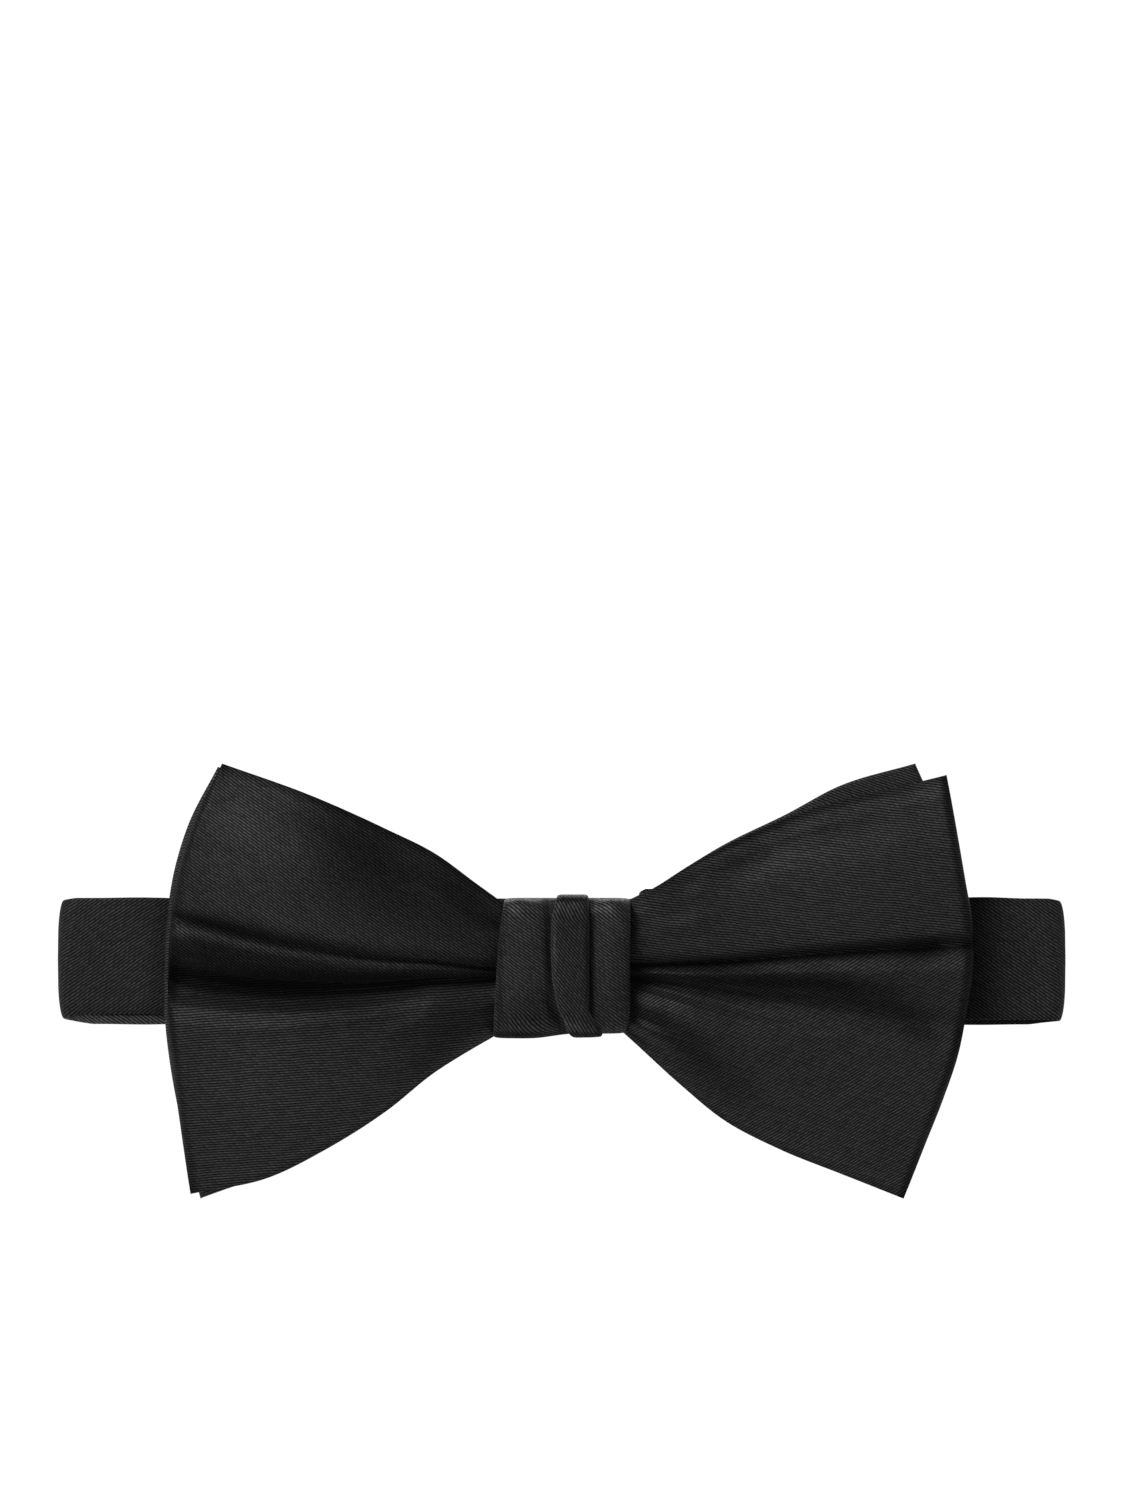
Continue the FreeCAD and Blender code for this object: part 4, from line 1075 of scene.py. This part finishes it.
for piece in wings:
    dress(piece, front_satin)
dress(wrap, knot_satin)
bands = [bpy.data.objects[name] for name in runs]
for piece in bands:
    dress(piece, band_satin)
print(len(bands), "stretches of neckband")

# %% Dress the CAD pieces
BY_SLOT = {"interlining": lining, "thread": sewing, "black_metal": metal}
SLOT_OF = {entry["node"]: entry["material_slot"] for entry in frame["record"]["subparts"]}
kept = [node for node, slot in SLOT_OF.items() if slot in BY_SLOT]
for node in kept:
    dress(frame["nodes"][node], BY_SLOT[SLOT_OF[node]])
print(len(kept), "CAD nodes take a finish")

# %% [markdown]
# ## Hide the CAD solids that the cloth stands for
#
# The plain CAD solids of the cloth are hidden; a table lists, for each cloth piece, the ones that it stands
# for.

# %% What each cloth piece replaces
STANDS_FOR = {
    "front_wing_left": ("front_bow_face", "front_bow_backing", "front_bow_interlining"),
    "rear_wing_left": ("rear_bow_face", "rear_bow_backing", "rear_bow_interlining"),
    "knot_wrap_cloth": ("knot_wrap",),
    "neckband_left": ("neckband_front_run", "left_first_fold"),
    "neckband_right": ("right_first_fold",),
    "neckband_left_back": ("left_inner_run", "left_second_fold_bend", "left_outer_run", "eye_hem"),
    "neckband_right_back": ("right_inner_run", "right_second_fold_bend", "right_outer_run"),
    "neckband_right_stretch": ("right_sliding_stretch", "hook_turn"),
    "neckband_right_return": ("return_run", "slider_hem"),
}
for name, nodes in STANDS_FOR.items():
    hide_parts(*nodes)
print("cloth pieces:", len(wings) + 1 + len(bands))

# %% [markdown]
#
# A wing is cut from half a bow blank 136 mm long, and its gathers take 15 per cent more cloth than its
# shape does. The wrap is one turn round the waist, and as wide as its front with the fold opened out. The
# neckband is cut to width, and its lengths were measured when the sweeps were made.

# %% [markdown]
# ## Floor
#
# A tie like this is shown on plain white with no shadow. A large white floor well below it gives that. The
# camera sees it brighter than it lights the tie, so that the floor is white and the cloth stays dark.

# %% Floor
FLOOR_SIZE, FLOOR_HEIGHT = 16, -1.2
bpy.ops.mesh.primitive_plane_add(size=FLOOR_SIZE, location=(0, 0, FLOOR_HEIGHT))
floor = bpy.context.object
floor.name = "floor"
paint = bpy.data.materials.new("pale floor")
paint.use_nodes = True
coat = paint.node_tree.nodes["Principled BSDF"]
coat.inputs["Base Color"].default_value = (0.86, 0.86, 0.86, 1)
coat.inputs["Roughness"].default_value = 0.9
coat.inputs["Emission Color"].default_value = (1, 1, 1, 1)
glow = Graph(paint.node_tree)
watched = glow.node("ShaderNodeLightPath").outputs["Is Camera Ray"]
glow.put(coat, "Emission Strength", glow.ramp(watched, 0.0, 1.0, 0.35, 0.72))
floor.data.materials.append(paint)
print(floor.name, "is", FLOOR_SIZE, "m wide")

# %% [markdown]
# ## Light
#
# Black satin needs broad soft light, or its floats turn into sparks. Most of the light comes from a pale
# world all round. A soft key light from the upper left and front draws the creases, and a wide fill
# behind lets the back be seen. The world, too, is brighter to the camera than to the tie.

# %% World and lights
world = bpy.data.worlds.new("studio")
bpy.context.scene.world = world
world.use_nodes = True
sky = Graph(world.node_tree)
seen = sky.node("ShaderNodeLightPath").outputs["Is Camera Ray"]
sky.put(world.node_tree.nodes["Background"], "Color", (1, 1, 1, 1))
sky.put(world.node_tree.nodes["Background"], "Strength", sky.ramp(seen, 0.0, 1.0, 0.42, 1.03))


def area_light(name, place, aim, size, power):
    """A square soft light aimed at a point."""
    data = bpy.data.lights.new(name, "AREA")
    data.shape, data.size, data.energy = "SQUARE", size, power
    light = bpy.data.objects.new(name, data)
    bpy.context.scene.collection.objects.link(light)
    light.location = place
    light.rotation_euler = (Vector(aim) - Vector(place)).to_track_quat("-Z", "Y").to_euler()
    return light


area_light("key from above", (-0.40, -0.52, 0.80), (0, 0, 0), 0.45, 10.5)
area_light("fill from behind", (-0.05, 0.95, 0.60), (0, 0, 0), 0.80, 24.0)

# %% [markdown]
# ## Camera
#
# The camera looks straight at the tie's front. A long lens from more than half a metre away keeps the
# lines nearly parallel, and the distance follows from the lens and from how much height the frame should
# show. The camera stands a little above the origin, which puts the tie below the middle.

# %% Camera
FOCAL, SENSOR = 150, 36
SHOWN_HEIGHT = 0.2230
BOW_DEPTH = 0.006
EYE_LEVEL = 0.0323
lens = bpy.data.cameras.new("camera")
lens.lens, lens.sensor_width, lens.sensor_fit = FOCAL, SENSOR, "VERTICAL"
lens.sensor_height = SENSOR
distance = SHOWN_HEIGHT / SENSOR * FOCAL
camera = bpy.data.objects.new("camera", lens)
bpy.context.scene.collection.objects.link(camera)
camera.location = (0, -distance - BOW_DEPTH, EYE_LEVEL)
camera.rotation_euler = (np.pi / 2, 0, 0)
bpy.context.scene.camera = camera
bpy.context.scene.view_settings.view_transform = "Standard"
print("camera distance, m:", round(distance, 3))
